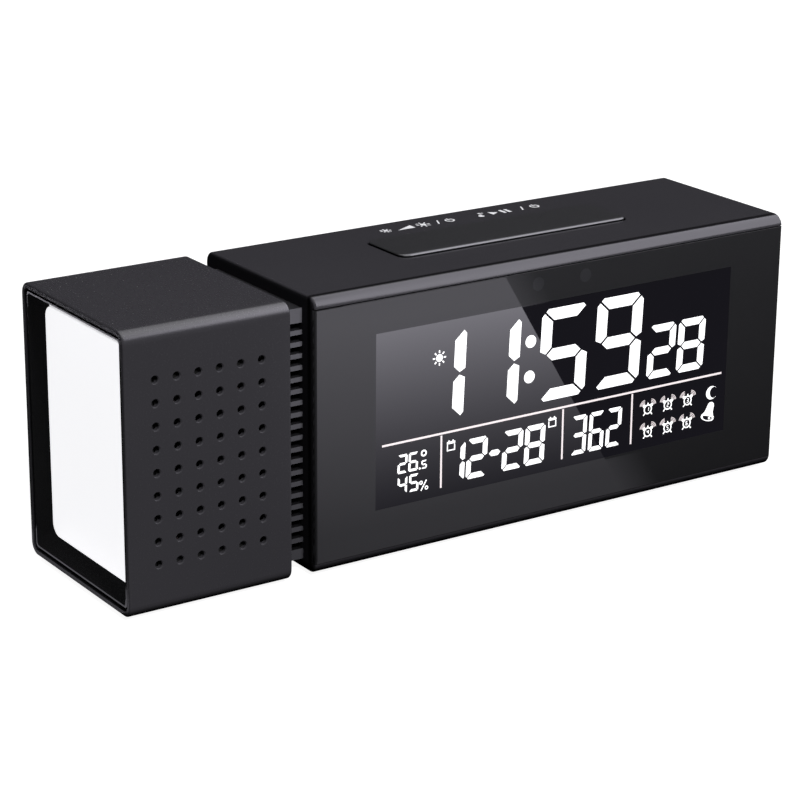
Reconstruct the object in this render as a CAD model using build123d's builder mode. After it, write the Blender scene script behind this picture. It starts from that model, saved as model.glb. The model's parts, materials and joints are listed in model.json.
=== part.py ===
from build123d import *
import os

# Radio alarm clock: a long case with a display, and a lamp and speaker head on its left end.
# A ribbed neck joins the two.
# X runs along the length to the right, Y to the back, Z up. The origin is on the table under the middle.
# All sizes are in millimetres.

# Overall sizes
head_length = 43.0
gap_width = 6.5
body_length = 141.0
case_depth = 50.0
case_height = 68.0
case_edge_radius = 3.0
case_end_radius = 0.5
case_wall = 2.0
head_wall = 1.3
foot_height = 0.8

# Clearances
overrun = 1.0
fit_gap = 0.15
run_gap = 0.05

# Front lens, adhesive sheet and display
lens_inset = 2.6
lens_thickness = 1.2
lens_seam = 0.12
tape_thickness = 0.2
bulkhead_thickness = 2.0
lcd_width_share = 0.766
lcd_height_share = 0.647
lcd_rise = 0.7
lcd_border = 0.8
lcd_ledge = 2.4
lcd_thickness = 2.0
backlight_thickness = 2.8
holder_wall = 1.2
holder_back = 1.2
zebra_width = 2.0

# Sensors above the display
sensor_spacing = 14.3
sensor_above_share = 0.0735
sensor_radius = 1.5
sensor_collar = 0.4
sensor_collar_height = 1.0
sensor_window_radius = 1.75
sensor_dome = 1.2

# Circuit boards and what is on them
board_thickness = 1.6
board_margin = 0.5
board_boss_radius = 2.0
board_boss_inset = 10.4
chip_size = 14.0
chip_height = 1.6
chip_offset_share = 0.085
radio_width = 18.0
radio_height = 13.0
radio_thickness = 3.0
radio_offset_share = 0.312
climate_width = 12.0
climate_height = 13.0
climate_thickness = 4.0
climate_vent_count = 4
climate_vent = 1.2
climate_wall = 1.0

# Self-tapping screws
screw_radius = 1.0
screw_head_radius = 1.9
screw_head_height = 1.4
screw_bite = 3.5
screw_slot_length = 2.2
screw_slot_width = 0.7
screw_slot_depth = 0.6

# Rear cover and its bosses
rear_inset = 3.5
cover_thickness = 2.0
cover_recess = 1.0
cover_boss_radius = 3.0
cover_boss_margin = 1.0
cover_screw_bite = 8.0
cover_screw_sink = 1.2

# Top bar and the switches under it
bar_length = 68.7
bar_width_share = 0.334
bar_set_back = 1.35
bar_corner_radius = 2.4
bar_edge_radius = 0.5
bar_rise = 0.6
bar_gap = 0.45
bar_skin = 1.6
bar_wall = 1.6
bar_flange = 1.0
bar_flange_thickness = 1.2
bar_tilt_room = 1.0
pin_radius = 1.0
pin_drop = 5.0
pin_boss_width = 6.0
pin_boss_wall = 1.6
lug_thickness = 2.0
lug_gap = 0.4
pad_radius = 2.0
pad_spacing_share = 0.7569
pad_gap = 0.1
pad_reach = 2.5
plunger_radius = 1.6
plunger_height = 1.0
plunger_depth = 1.0
plunger_room = 0.8
switch_size = 6.0
switch_height = 3.5
switch_board_width = 14.0
switch_board_end = 3.5
switch_post_radius = 2.5
switch_post_gap = 0.6

# Keys in the rear cover
key_count = 6
key_spacing = 14.0
key_width = 10.0
key_height = 5.5
key_corner_radius = 1.2
key_edge_radius = 0.4
key_proud = 0.8
key_travel = 0.6
key_gap = 0.25
key_flange = 0.9
key_flange_thickness = 1.0
key_stem_reach = 1.0
key_rise_share = 0.22
key_board_side_margin = 12.5
key_board_end_margin = 10.0
standoff_radius = 2.5
standoff_inset = 4.0

# Power inlet and vents in the rear cover
inlet_width = 8.0
inlet_height = 3.0
inlet_wall = 0.4
inlet_corner_share = 0.25
inlet_tongue_width = 4.6
inlet_tongue_height = 0.8
inlet_tongue_setback = 1.2
inlet_setback = 0.3
inlet_offset_share = 0.27
inlet_drop_share = 0.206
vent_count = 5
vent_length = 15.0
vent_height = 1.2
vent_spacing = 2.6
vent_drop_share = 0.19

# Back-up cell and its door
cell_radius = 10.0
cell_thickness = 3.2
cell_holder_wall = 1.2
cell_holder_base = 1.2
cell_holder_height = 3.2
cell_offset_share = 0.241
cell_drop_share = 0.103
door_size = 28.0
door_corner_radius = 2.0
door_ledge = 1.6
door_plate = 1.2
door_gap = 0.2
door_notch_radius = 3.0
door_notch_depth = 0.7
grip_count = 3

# Ribbed neck
neck_side_inset = 5.75
neck_top_inset = 3.5
neck_bottom_inset = 2.5
neck_top_block = 3.5
neck_bottom_block = 2.5
rib_count = 19
rib_thickness = 1.1
groove_depth = 2.75
groove_wall = 2.0
neck_bore_share = 0.58
spigot_wall = 1.5
neck_screw_rise = 3.5
neck_screw_spread = 16.0
neck_screw_bite_share = 0.4

# Lamp at the left end
bezel_inset = 2.1
bezel_land = 0.4
bezel_setback = 0.35
bezel_slope = 2.9
bezel_depth = 3.0
bezel_corner_radius = 1.0
window_corner_radius = 3.0
window_lift = 0.4
diffuser_lap = 1.5
diffuser_thickness = 1.2
guide_thickness = 2.0
reflector_thickness = 0.3
tray_wall = 1.2
tray_back = 1.0
tray_corner_radius = 0.5
led_count = 6
led_strip_thickness = 0.5
led_strip_width = 1.8
led_height = 0.7
led_width = 1.4
led_length = 2.8
led_strip_share = 0.72

# Speaker and its holes
hole_columns = 6
hole_rows = 9
hole_spacing = 5.5
hole_radius = 0.85
hole_break = 0.25
speaker_side_gap = 0.3
speaker_height_share = 0.676
speaker_flange_share = 0.838
speaker_corner_radius = 3.0
speaker_flange_thickness = 1.2
speaker_rim = 2.0
speaker_roll = 2.0
speaker_roll_thickness = 0.6
gasket_thickness = 1.0
basket_depth = 7.0
basket_wall = 1.0
basket_taper = 3.0
cone_depth = 4.5
cone_thickness = 0.5
cone_taper = 5.5
magnet_radius = 7.5
magnet_depth = 6.0
coil_radius = 3.6
coil_wall = 0.5
speaker_boss_radius = 2.4
speaker_screw_inset = 3.2
speaker_screw_hold = 0.8
speaker_roll_inset = 0.2

# Flat cables inside
cable_width = 8.0
cable_thickness = 0.9
cable_bend = 8.0
cable_depth = 2.0
cable_drop = 8.0
cable_landing = 12.0
link_offset = 24.0
link_drop = 4.0

# Rubber feet
foot_radius = 4.5
foot_recess = 0.8
foot_end_inset = 14.0
foot_spread = 32.0
foot_edge_radius = 0.4

# Places along the length
total_length = head_length + gap_width + body_length
case_left = -total_length / 2
head_right = case_left + head_length
body_left = head_right + gap_width
body_right = body_left + body_length
body_mid = (body_left + body_right) / 2
head_mid = (case_left + head_right) / 2

# Screw holes
pilot_radius = screw_radius + run_gap

# Places in height
case_bottom = foot_height
case_top = case_bottom + case_height
case_mid = (case_bottom + case_top) / 2
lens_height = case_height - 2 * lens_inset
lcd_width = body_length * lcd_width_share
lcd_height = case_height * lcd_height_share
lcd_mid = case_mid + lcd_rise
glass_width = lcd_width + 2 * lcd_border
glass_height = lcd_height + 2 * lcd_border + lcd_ledge
glass_mid = lcd_mid - lcd_ledge / 2
sensor_z = lcd_mid + lcd_height / 2 + case_height * sensor_above_share

# Places in depth
case_front = -case_depth / 2
case_back = case_depth / 2
lens_back = case_front + lens_thickness
tape_back = lens_back + tape_thickness
bulkhead_back = tape_back + bulkhead_thickness
lcd_back = tape_back + lcd_thickness
backlight_back = lcd_back + backlight_thickness
board_front = backlight_back + holder_back
board_rear = board_front + board_thickness
cover_face = case_back - cover_recess
cover_inner = cover_face - cover_thickness
key_flange_back = cover_inner - key_flange_thickness
key_switch_top = key_flange_back - key_stem_reach
key_board_rear = key_switch_top - switch_height
key_board_front = key_board_rear - board_thickness

# Places around the top bar
bar_width = case_depth * bar_width_share
pad_spacing = bar_length * pad_spacing_share
ceiling = case_top - case_wall
flange_top = ceiling - bar_tilt_room
flange_bottom = flange_top - bar_flange_thickness
pin_z = ceiling - pin_drop
pad_bottom = pin_z - pad_reach
plunger_top = pad_bottom - pad_gap
switch_top = plunger_top - plunger_height
switch_board_top = switch_top - switch_height
lug_inner = bar_width / 2 + bar_flange + lug_gap
post_x = bar_length / 2 + bar_flange + switch_post_gap + switch_post_radius

# Places in the rear cover
cover_width = body_length - 2 * rear_inset
cover_height = case_height - 2 * rear_inset
cover_screw_inset = rear_inset + fit_gap + screw_head_radius + cover_boss_margin
cover_screw_x = body_length / 2 - cover_screw_inset
cover_screw_z = case_height / 2 - cover_screw_inset
key_board_width = body_length - 2 * key_board_side_margin
key_board_height = case_height - 2 * key_board_end_margin
standoff_x = key_board_width / 2 - standoff_inset
standoff_z = key_board_height / 2 - standoff_inset
key_z = case_mid + case_height * key_rise_share
cell_x = body_mid - body_length * cell_offset_share
cell_z = case_mid - case_height * cell_drop_share
inlet_x = body_mid + body_length * inlet_offset_share
inlet_z = case_mid - case_height * inlet_drop_share
vent_z = case_mid - case_height * vent_drop_share
hatch_size = door_size - 2 * door_ledge

# Main board outline
board_width = body_length - 2 * (cover_screw_inset + cover_boss_radius + board_margin)
board_height = case_height - 2 * (case_wall + board_margin)
board_boss_z = board_height / 2 - board_boss_radius
board_boss_x = board_width / 2 - board_boss_inset

# Places in the neck
neck_bottom = case_bottom + neck_bottom_inset
neck_top = case_top - neck_top_inset
neck_mid = (neck_bottom + neck_top) / 2
neck_depth = case_depth - 2 * neck_side_inset
groove_zone = neck_top - neck_bottom - neck_top_block - neck_bottom_block
groove_height = (groove_zone - rib_count * rib_thickness) / (rib_count + 1)
rib_pitch = groove_height + rib_thickness
groove_mid = neck_bottom + neck_bottom_block + groove_zone / 2
neck_bore_height = (neck_top - neck_bottom) * neck_bore_share
neck_bore_width = neck_depth - 2 * (groove_depth + groove_wall)
spigot_width = neck_bore_width + 2 * spigot_wall
spigot_height = neck_bore_height + 2 * spigot_wall
neck_screw_z = spigot_height / 2 + neck_screw_rise
neck_screw_bite = gap_width * neck_screw_bite_share

# Places in the lamp
window_inset = bezel_inset + bezel_land + bezel_slope
bezel_front = case_left + bezel_setback
bezel_back = bezel_front + bezel_depth
diffuser_back = bezel_back + diffuser_thickness
guide_back = diffuser_back + guide_thickness
reflector_back = guide_back + reflector_thickness
tray_rear = reflector_back + tray_back
tray_inset = head_wall + fit_gap
tray_inner_inset = tray_inset + tray_wall
diffuser_inset = window_inset - diffuser_lap
tray_floor = case_bottom + tray_inner_inset
led_bottom = tray_floor + led_strip_thickness
led_strip_length = case_depth * led_strip_share
led_spacing = led_strip_length / led_count
guide_bottom = led_bottom + led_height + fit_gap
guide_top = case_top - diffuser_inset
guide_mid = (guide_bottom + guide_top) / 2

# Places in the speaker
head_front = case_front + head_wall
gasket_back = head_front + gasket_thickness
flange_back = gasket_back + speaker_flange_thickness
basket_back = flange_back + basket_depth
speaker_height = case_height * speaker_height_share
speaker_flange_height = case_height * speaker_flange_share
speaker_width = 2 * (head_mid - tray_rear - speaker_side_gap)
speaker_straight = speaker_height - speaker_width
speaker_opening = speaker_width - 2 * speaker_rim
cone_width = speaker_opening - 2 * speaker_roll
speaker_screw_z = speaker_flange_height / 2 - speaker_screw_inset
speaker_screw_bite = gasket_thickness + speaker_screw_hold

# Feet under the head and the case
foot_places = [
    (x, y)
    for x in (head_mid, body_left + foot_end_inset, body_right - foot_end_inset)
    for y in (-foot_spread / 2, foot_spread / 2)
]

os.makedirs("parts", exist_ok=True)


def save(piece, name):
    """Labels a finished piece and writes it to its own file."""
    piece.part.label = name
    export_step(piece.part, f"parts/{name}.step")


def upright(y):
    """Plane across the case at depth y, drawn as seen from the front; a negative extrude goes to the back."""
    return Plane.XZ.offset(-y)


def across(x):
    """Plane square to the length at x, drawn with Y to the right; an extrude goes to the right."""
    return Plane.YZ.offset(x)


def level(z):
    """Horizontal plane at height z."""
    return Plane.XY.offset(z)


def corners(spread_x, spread_z, middle_x, middle_z):
    """The four corners of a rectangle of places."""
    return [
        (middle_x + side * spread_x, middle_z + rise * spread_z)
        for side in (-1, 1)
        for rise in (-1, 1)
    ]


def screws(plane, places, shank, crossed=False):
    """Pan-head screws whose heads stand on the plane and whose shanks point against its normal."""
    with BuildPart() as made:
        with BuildSketch(plane):
            with Locations(*places):
                Circle(screw_head_radius)
        extrude(amount=screw_head_height)
        with BuildSketch(plane):
            with Locations(*places):
                Circle(screw_radius)
        extrude(amount=-shank)
        if crossed:
            with BuildSketch(plane.offset(screw_head_height)):
                with Locations(*places):
                    Rectangle(screw_slot_length, screw_slot_width)
                    Rectangle(screw_slot_width, screw_slot_length)
            extrude(amount=-screw_slot_depth, mode=Mode.SUBTRACT)
    return made


# Main case: rounded section, lens rebate in front, opening for the cover behind, walls and bosses inside
with BuildPart() as body_shell:
    with BuildSketch(across(body_left)):
        with Locations((0, case_mid)):
            RectangleRounded(case_depth, case_height, case_edge_radius)
    extrude(amount=body_length)
    case_ends = body_shell.faces().sort_by(Axis.X)
    fillet(case_ends[0].edges() + case_ends[-1].edges(), case_end_radius)
    with BuildSketch(upright(bulkhead_back)):
        with Locations((body_mid, case_mid)):
            Rectangle(body_length - 2 * case_wall, case_height - 2 * case_wall)
    extrude(amount=bulkhead_back - cover_inner, mode=Mode.SUBTRACT)
    with BuildSketch(upright(cover_inner)):
        with Locations((body_mid, case_mid)):
            Rectangle(cover_width, cover_height)
    extrude(amount=cover_inner - case_back - overrun, mode=Mode.SUBTRACT)
    with BuildSketch(upright(case_front - overrun)):
        with Locations((body_mid, case_mid)):
            Rectangle(body_length + 2 * overrun, lens_height)
    extrude(amount=case_front - overrun - tape_back, mode=Mode.SUBTRACT)
    # Bosses that carry the rear cover and the main board
    with BuildSketch(upright(bulkhead_back)):
        with Locations(*corners(cover_screw_x, cover_screw_z, body_mid, case_mid)):
            Circle(cover_boss_radius)
    extrude(amount=bulkhead_back - cover_inner)
    with BuildSketch(upright(bulkhead_back)):
        with Locations(*corners(board_boss_x, board_boss_z, body_mid, case_mid)):
            Circle(board_boss_radius)
    extrude(amount=bulkhead_back - board_front)
    # Lugs for the top bar's pin and posts for the switch board
    with BuildSketch(level(ceiling)):
        with Locations(
            (body_mid, bar_set_back - lug_inner - lug_thickness / 2),
            (body_mid, bar_set_back + lug_inner + lug_thickness / 2),
        ):
            Rectangle(pin_boss_width, lug_thickness)
    extrude(amount=pin_z - pin_radius - pin_boss_wall - ceiling)
    with BuildSketch(level(ceiling)):
        with Locations((body_mid - post_x, 0), (body_mid + post_x, 0)):
            Circle(switch_post_radius)
    extrude(amount=switch_board_top - ceiling)
    # Openings: display, sensors, top bar, neck
    with BuildSketch(upright(tape_back - overrun)):
        with Locations((body_mid, glass_mid)):
            Rectangle(glass_width + 2 * fit_gap, glass_height + 2 * fit_gap)
        with Locations((body_mid - sensor_spacing / 2, sensor_z), (body_mid + sensor_spacing / 2, sensor_z)):
            Circle(sensor_radius + fit_gap)
    extrude(amount=tape_back - overrun - bulkhead_back, mode=Mode.SUBTRACT)
    with BuildSketch(level(ceiling - overrun)):
        with Locations((body_mid, bar_set_back)):
            RectangleRounded(
                bar_length + 2 * bar_gap, bar_width + 2 * bar_gap, bar_corner_radius + bar_gap
            )
    extrude(amount=case_wall + 2 * overrun, mode=Mode.SUBTRACT)
    with BuildSketch(across(body_left - overrun)):
        with Locations((0, neck_mid)):
            Rectangle(spigot_width + 2 * fit_gap, spigot_height + 2 * fit_gap)
        with Locations(*corners(neck_screw_spread / 2, neck_screw_z, 0, neck_mid)):
            Circle(pilot_radius)
    extrude(amount=case_wall + 2 * overrun, mode=Mode.SUBTRACT)
    # Screw holes, the pin's holes and the pockets of the feet
    with BuildSketch(upright(cover_inner)):
        with Locations(*corners(cover_screw_x, cover_screw_z, body_mid, case_mid)):
            Circle(pilot_radius)
    extrude(amount=cover_screw_bite, mode=Mode.SUBTRACT)
    with BuildSketch(upright(board_front)):
        with Locations(*corners(board_boss_x, board_boss_z, body_mid, case_mid)):
            Circle(pilot_radius)
    extrude(amount=screw_bite, mode=Mode.SUBTRACT)
    with BuildSketch(level(switch_board_top)):
        with Locations((body_mid - post_x, 0), (body_mid + post_x, 0)):
            Circle(pilot_radius)
    extrude(amount=screw_bite, mode=Mode.SUBTRACT)
    with BuildSketch(upright(bar_set_back - lug_inner - lug_thickness - overrun)):
        with Locations((body_mid, pin_z)):
            Circle(pin_radius)
    extrude(amount=-2 * (lug_inner + lug_thickness + overrun), mode=Mode.SUBTRACT)
    with BuildSketch(level(case_bottom)):
        with Locations(*foot_places[2:]):
            Circle(foot_radius + fit_gap)
    extrude(amount=foot_recess, mode=Mode.SUBTRACT)
save(body_shell, "body_shell")

# Front lens: clear plate flush with the case, from end to end
with BuildPart() as front_lens:
    with BuildSketch(upright(case_front)):
        with Locations((body_mid, case_mid)):
            Rectangle(body_length, lens_height - 2 * lens_seam)
    extrude(amount=-lens_thickness)
    fillet(front_lens.faces().sort_by(Axis.Y)[0].edges().filter_by(Axis.Z), case_end_radius)
save(front_lens, "front_lens")

# Black die-cut adhesive sheet behind the lens, open at the display and the two sensors
with BuildPart() as lens_tape:
    with BuildSketch(upright(lens_back)):
        with Locations((body_mid, case_mid)):
            Rectangle(body_length - 2 * case_end_radius, lens_height - 2 * lens_seam)
        with Locations((body_mid, lcd_mid)):
            Rectangle(lcd_width, lcd_height, mode=Mode.SUBTRACT)
        with Locations((body_mid - sensor_spacing / 2, sensor_z), (body_mid + sensor_spacing / 2, sensor_z)):
            Circle(sensor_window_radius, mode=Mode.SUBTRACT)
    extrude(amount=-tape_thickness)
save(lens_tape, "lens_tape")

# Display glass with a contact ledge along its lower edge
with BuildPart() as lcd_panel:
    with BuildSketch(upright(tape_back)):
        with Locations((body_mid, glass_mid)):
            Rectangle(glass_width, glass_height)
    extrude(amount=-lcd_thickness)
save(lcd_panel, "lcd_panel")

# Light-spreading plate behind the glass, above the contact ledge
with BuildPart() as backlight:
    with BuildSketch(upright(lcd_back)):
        with Locations((body_mid, lcd_mid)):
            Rectangle(lcd_width + 2 * lcd_border, lcd_height + 2 * lcd_border)
    extrude(amount=-backlight_thickness)
save(backlight, "backlight")

# Holder that clamps the glass and its light, with a slot for the contact strip
zebra_z = glass_mid - glass_height / 2 + lcd_ledge / 2
with BuildPart() as lcd_holder:
    with BuildSketch(upright(bulkhead_back)):
        with Locations((body_mid, glass_mid)):
            Rectangle(
                glass_width + 2 * (fit_gap + holder_wall), glass_height + 2 * (fit_gap + holder_wall)
            )
    extrude(amount=bulkhead_back - board_front)
    with BuildSketch(upright(bulkhead_back)):
        with Locations((body_mid, glass_mid)):
            Rectangle(glass_width + 2 * fit_gap, glass_height + 2 * fit_gap)
    extrude(amount=bulkhead_back - backlight_back, mode=Mode.SUBTRACT)
    with BuildSketch(upright(backlight_back)):
        with Locations((body_mid, zebra_z)):
            Rectangle(glass_width, zebra_width + 2 * fit_gap)
    extrude(amount=backlight_back - board_front, mode=Mode.SUBTRACT)
save(lcd_holder, "lcd_holder")

# Elastomer strip that joins the glass to the board
with BuildPart() as zebra_strip:
    with BuildSketch(upright(lcd_back)):
        with Locations((body_mid, zebra_z)):
            Rectangle(lcd_width, zebra_width)
    extrude(amount=lcd_back - board_front)
save(zebra_strip, "zebra_strip")

# Main board behind the display
with BuildPart() as main_board:
    with BuildSketch(upright(board_front)):
        with Locations((body_mid, case_mid)):
            Rectangle(board_width, board_height)
        with Locations(*corners(board_boss_x, board_boss_z, body_mid, case_mid)):
            Circle(pilot_radius, mode=Mode.SUBTRACT)
    extrude(amount=-board_thickness)
save(main_board, "main_board")

board_screws = screws(
    Plane.ZX.offset(board_rear),
    [(z, x) for x, z in corners(board_boss_x, board_boss_z, body_mid, case_mid)],
    board_thickness + screw_bite,
)
save(board_screws, "board_screws")

chip_offset = body_length * chip_offset_share
with BuildPart() as clock_chip:
    with BuildSketch(upright(board_rear)):
        with Locations((body_mid + chip_offset, case_mid - chip_offset)):
            Rectangle(chip_size, chip_size)
    extrude(amount=-chip_height)
save(clock_chip, "clock_chip")

with BuildPart() as radio_module:
    with BuildSketch(upright(board_rear)):
        with Locations((body_mid + body_length * radio_offset_share, case_mid)):
            Rectangle(radio_width, radio_height)
    extrude(amount=-radio_thickness)
    fillet(radio_module.edges().filter_by(Axis.Y), chip_height / 2)
save(radio_module, "radio_module")

# Two round infrared parts that look out through the lens
for name, side in (("ir_emitter", -1), ("ir_receiver", 1)):
    with BuildPart() as sensor:
        with BuildSketch(upright(board_front)):
            with Locations((body_mid + side * sensor_spacing / 2, sensor_z)):
                Circle(sensor_radius)
        extrude(amount=board_front - tape_back)
        fillet(sensor.faces().sort_by(Axis.Y)[0].edges(), sensor_dome)
        with BuildSketch(upright(board_front)):
            with Locations((body_mid + side * sensor_spacing / 2, sensor_z)):
                Circle(sensor_radius + sensor_collar)
        extrude(amount=sensor_collar_height)
    save(sensor, name)

# Top bar: hollow, rocking on a pin, with a flange below the case wall and a pad over each switch
bar_top = case_top + bar_rise
bar_ceiling = bar_top - bar_skin
with BuildPart() as top_bar:
    with BuildSketch(level(flange_bottom)):
        with Locations((body_mid, bar_set_back)):
            RectangleRounded(bar_length, bar_width, bar_corner_radius)
    extrude(amount=bar_top - flange_bottom)
    fillet(top_bar.faces().sort_by(Axis.Z)[-1].edges(), bar_edge_radius)
    with BuildSketch(level(flange_bottom)):
        with Locations((body_mid, bar_set_back)):
            RectangleRounded(
                bar_length + 2 * bar_flange, bar_width + 2 * bar_flange, bar_corner_radius + bar_flange
            )
    extrude(amount=bar_flange_thickness)
    with BuildSketch(level(flange_bottom)):
        with Locations((body_mid, bar_set_back)):
            RectangleRounded(
                bar_length - 2 * bar_wall, bar_width - 2 * bar_wall, bar_corner_radius - bar_wall
            )
    extrude(amount=bar_ceiling - flange_bottom, mode=Mode.SUBTRACT)
    with BuildSketch(level(pad_bottom)):
        with Locations((body_mid - pad_spacing / 2, 0), (body_mid + pad_spacing / 2, 0)):
            Circle(pad_radius)
    extrude(amount=bar_ceiling - pad_bottom)
    with BuildSketch(level(pin_z - pin_radius - pin_boss_wall)):
        with Locations((body_mid, bar_set_back)):
            Rectangle(pin_boss_width, bar_width - 2 * bar_wall)
    extrude(amount=bar_ceiling - pin_z + pin_radius + pin_boss_wall)
    with BuildSketch(upright(-bar_width)):
        with Locations((body_mid, pin_z)):
            Circle(pin_radius + run_gap)
    extrude(amount=-2 * bar_width, mode=Mode.SUBTRACT)
save(top_bar, "top_bar")

# Steel pin that the bar rocks on, held in the case's lugs
with BuildPart() as bar_pin:
    with BuildSketch(upright(bar_set_back - lug_inner - lug_thickness)):
        with Locations((body_mid, pin_z)):
            Circle(pin_radius)
    extrude(amount=-2 * (lug_inner + lug_thickness))
save(bar_pin, "bar_pin")

# Board under the bar, hung from two posts
with BuildPart() as switch_board:
    with BuildSketch(level(switch_board_top)):
        with Locations((body_mid, 0)):
            Rectangle(2 * (post_x + switch_board_end), switch_board_width)
        with Locations((body_mid - post_x, 0), (body_mid + post_x, 0)):
            Circle(pilot_radius, mode=Mode.SUBTRACT)
    extrude(amount=-board_thickness)
save(switch_board, "switch_board")

under_board = Plane(origin=(0, 0, switch_board_top - board_thickness), x_dir=(1, 0, 0), z_dir=(0, 0, -1))
switch_board_screws = screws(
    under_board, [(body_mid - post_x, 0), (body_mid + post_x, 0)], board_thickness + screw_bite
)
save(switch_board_screws, "switch_board_screws")

# Push switches under the bar's two pads, with their plungers
with BuildPart() as bar_switches:
    with BuildSketch(level(switch_board_top)):
        with Locations((body_mid - pad_spacing / 2, 0), (body_mid + pad_spacing / 2, 0)):
            Rectangle(switch_size, switch_size)
    extrude(amount=switch_height)
    with BuildSketch(level(switch_top)):
        with Locations((body_mid - pad_spacing / 2, 0), (body_mid + pad_spacing / 2, 0)):
            Circle(plunger_radius + 2 * run_gap)
    extrude(amount=-plunger_depth - plunger_room, mode=Mode.SUBTRACT)
save(bar_switches, "bar_switches")

for name, side in (("plunger_left", -1), ("plunger_right", 1)):
    with BuildPart() as plunger:
        with BuildSketch(level(switch_top - plunger_depth)):
            with Locations((body_mid + side * pad_spacing / 2, 0)):
                Circle(plunger_radius)
        extrude(amount=plunger_depth + plunger_height)
    save(plunger, name)

# Rear cover: plate in the case's rear opening, with key holes, inlet, vents, cell hatch and standoffs
key_places = [(body_mid + (i - (key_count - 1) / 2) * key_spacing, key_z) for i in range(key_count)]
cover_screw_places = corners(cover_screw_x, cover_screw_z, body_mid, case_mid)
standoff_places = corners(standoff_x, standoff_z, body_mid, case_mid)
with BuildPart() as rear_cover:
    with BuildSketch(upright(cover_inner)):
        with Locations((body_mid, case_mid)):
            Rectangle(cover_width - 2 * fit_gap, cover_height - 2 * fit_gap)
        with Locations(*key_places):
            RectangleRounded(
                key_width + 2 * key_gap,
                key_height + 2 * key_gap,
                key_corner_radius + key_gap,
                mode=Mode.SUBTRACT,
            )
        with Locations((inlet_x, inlet_z)):
            Rectangle(inlet_width + 2 * fit_gap, inlet_height + 2 * fit_gap, mode=Mode.SUBTRACT)
        with Locations((body_mid, vent_z)):
            with GridLocations(0, vent_spacing, 1, vent_count):
                SlotOverall(vent_length, vent_height, mode=Mode.SUBTRACT)
        with Locations((cell_x, cell_z)):
            RectangleRounded(hatch_size, hatch_size, door_corner_radius, mode=Mode.SUBTRACT)
        with Locations(*cover_screw_places):
            Circle(pilot_radius, mode=Mode.SUBTRACT)
    extrude(amount=-cover_thickness)
    with BuildSketch(upright(cover_face)):
        with Locations((cell_x, cell_z)):
            RectangleRounded(door_size, door_size, door_corner_radius)
    extrude(amount=door_plate, mode=Mode.SUBTRACT)
    with BuildSketch(upright(cover_face)):
        with Locations((cell_x, cell_z + door_size / 2)):
            Circle(door_notch_radius)
    extrude(amount=door_notch_depth, mode=Mode.SUBTRACT)
    with BuildSketch(upright(cover_face)):
        with Locations(*cover_screw_places):
            Circle(screw_head_radius + fit_gap)
    extrude(amount=cover_screw_sink, mode=Mode.SUBTRACT)
    with BuildSketch(upright(cover_inner)):
        with Locations(*standoff_places):
            Circle(standoff_radius)
    extrude(amount=cover_inner - key_board_rear)
    with BuildSketch(upright(key_board_rear)):
        with Locations(*standoff_places):
            Circle(pilot_radius)
    extrude(amount=-screw_bite, mode=Mode.SUBTRACT)
save(rear_cover, "rear_cover")

# Cover screws with a cross recess, sunk in the cover
cover_screws = screws(
    Plane.ZX.offset(cover_face - cover_screw_sink),
    [(z, x) for x, z in cover_screw_places],
    cover_thickness - cover_screw_sink + cover_screw_bite,
    crossed=True,
)
save(cover_screws, "cover_screws")

# Key board on the cover's standoffs
with BuildPart() as key_board:
    with BuildSketch(upright(key_board_front)):
        with Locations((body_mid, case_mid)):
            Rectangle(key_board_width, key_board_height)
        with Locations(*standoff_places):
            Circle(pilot_radius, mode=Mode.SUBTRACT)
    extrude(amount=-board_thickness)
save(key_board, "key_board")

key_board_screws = screws(upright(key_board_front), standoff_places, board_thickness + screw_bite)
save(key_board_screws, "key_board_screws")

with BuildPart() as key_switches:
    with BuildSketch(upright(key_board_rear)):
        with Locations(*key_places):
            Rectangle(switch_size, switch_size)
    extrude(amount=-switch_height)
    with BuildSketch(upright(key_switch_top)):
        with Locations(*key_places):
            Circle(plunger_radius + 2 * run_gap)
    extrude(amount=plunger_depth + plunger_room, mode=Mode.SUBTRACT)
save(key_switches, "key_switches")

# Six keys, each a cap with a flange behind the cover and a stem that reaches into its switch
for number, place in enumerate(key_places, start=1):
    with BuildPart() as rear_key:
        with BuildSketch(upright(key_flange_back)):
            with Locations(place):
                RectangleRounded(key_width, key_height, key_corner_radius)
        extrude(amount=key_flange_back - cover_face - key_proud)
        fillet(rear_key.faces().sort_by(Axis.Y)[-1].edges(), key_edge_radius)
        with BuildSketch(upright(key_flange_back)):
            with Locations(place):
                RectangleRounded(
                    key_width + 2 * key_flange, key_height + 2 * key_flange, key_corner_radius + key_flange
                )
        extrude(amount=-key_flange_thickness)
        with BuildSketch(upright(key_flange_back)):
            with Locations(place):
                Circle(plunger_radius)
        extrude(amount=key_stem_reach + plunger_depth)
    save(rear_key, f"rear_key_{number}")

# Power inlet: a metal shell with a contact tongue, standing on the key board
inlet_mouth = cover_face - inlet_setback
with BuildPart() as power_inlet:
    with BuildSketch(upright(key_board_rear)):
        with Locations((inlet_x, inlet_z)):
            RectangleRounded(inlet_width, inlet_height, inlet_height * inlet_corner_share)
    extrude(amount=key_board_rear - inlet_mouth)
    with BuildSketch(upright(key_board_rear + inlet_tongue_setback)):
        with Locations((inlet_x, inlet_z)):
            Rectangle(inlet_width - 2 * inlet_wall, inlet_height - 2 * inlet_wall)
            Rectangle(inlet_tongue_width, inlet_tongue_height, mode=Mode.SUBTRACT)
    extrude(amount=key_board_rear - inlet_mouth, mode=Mode.SUBTRACT)
    with BuildSketch(upright(inlet_mouth)):
        with Locations((inlet_x, inlet_z)):
            Rectangle(inlet_width - 2 * inlet_wall, inlet_height - 2 * inlet_wall)
    extrude(amount=inlet_tongue_setback, mode=Mode.SUBTRACT)
save(power_inlet, "power_inlet")

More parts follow.
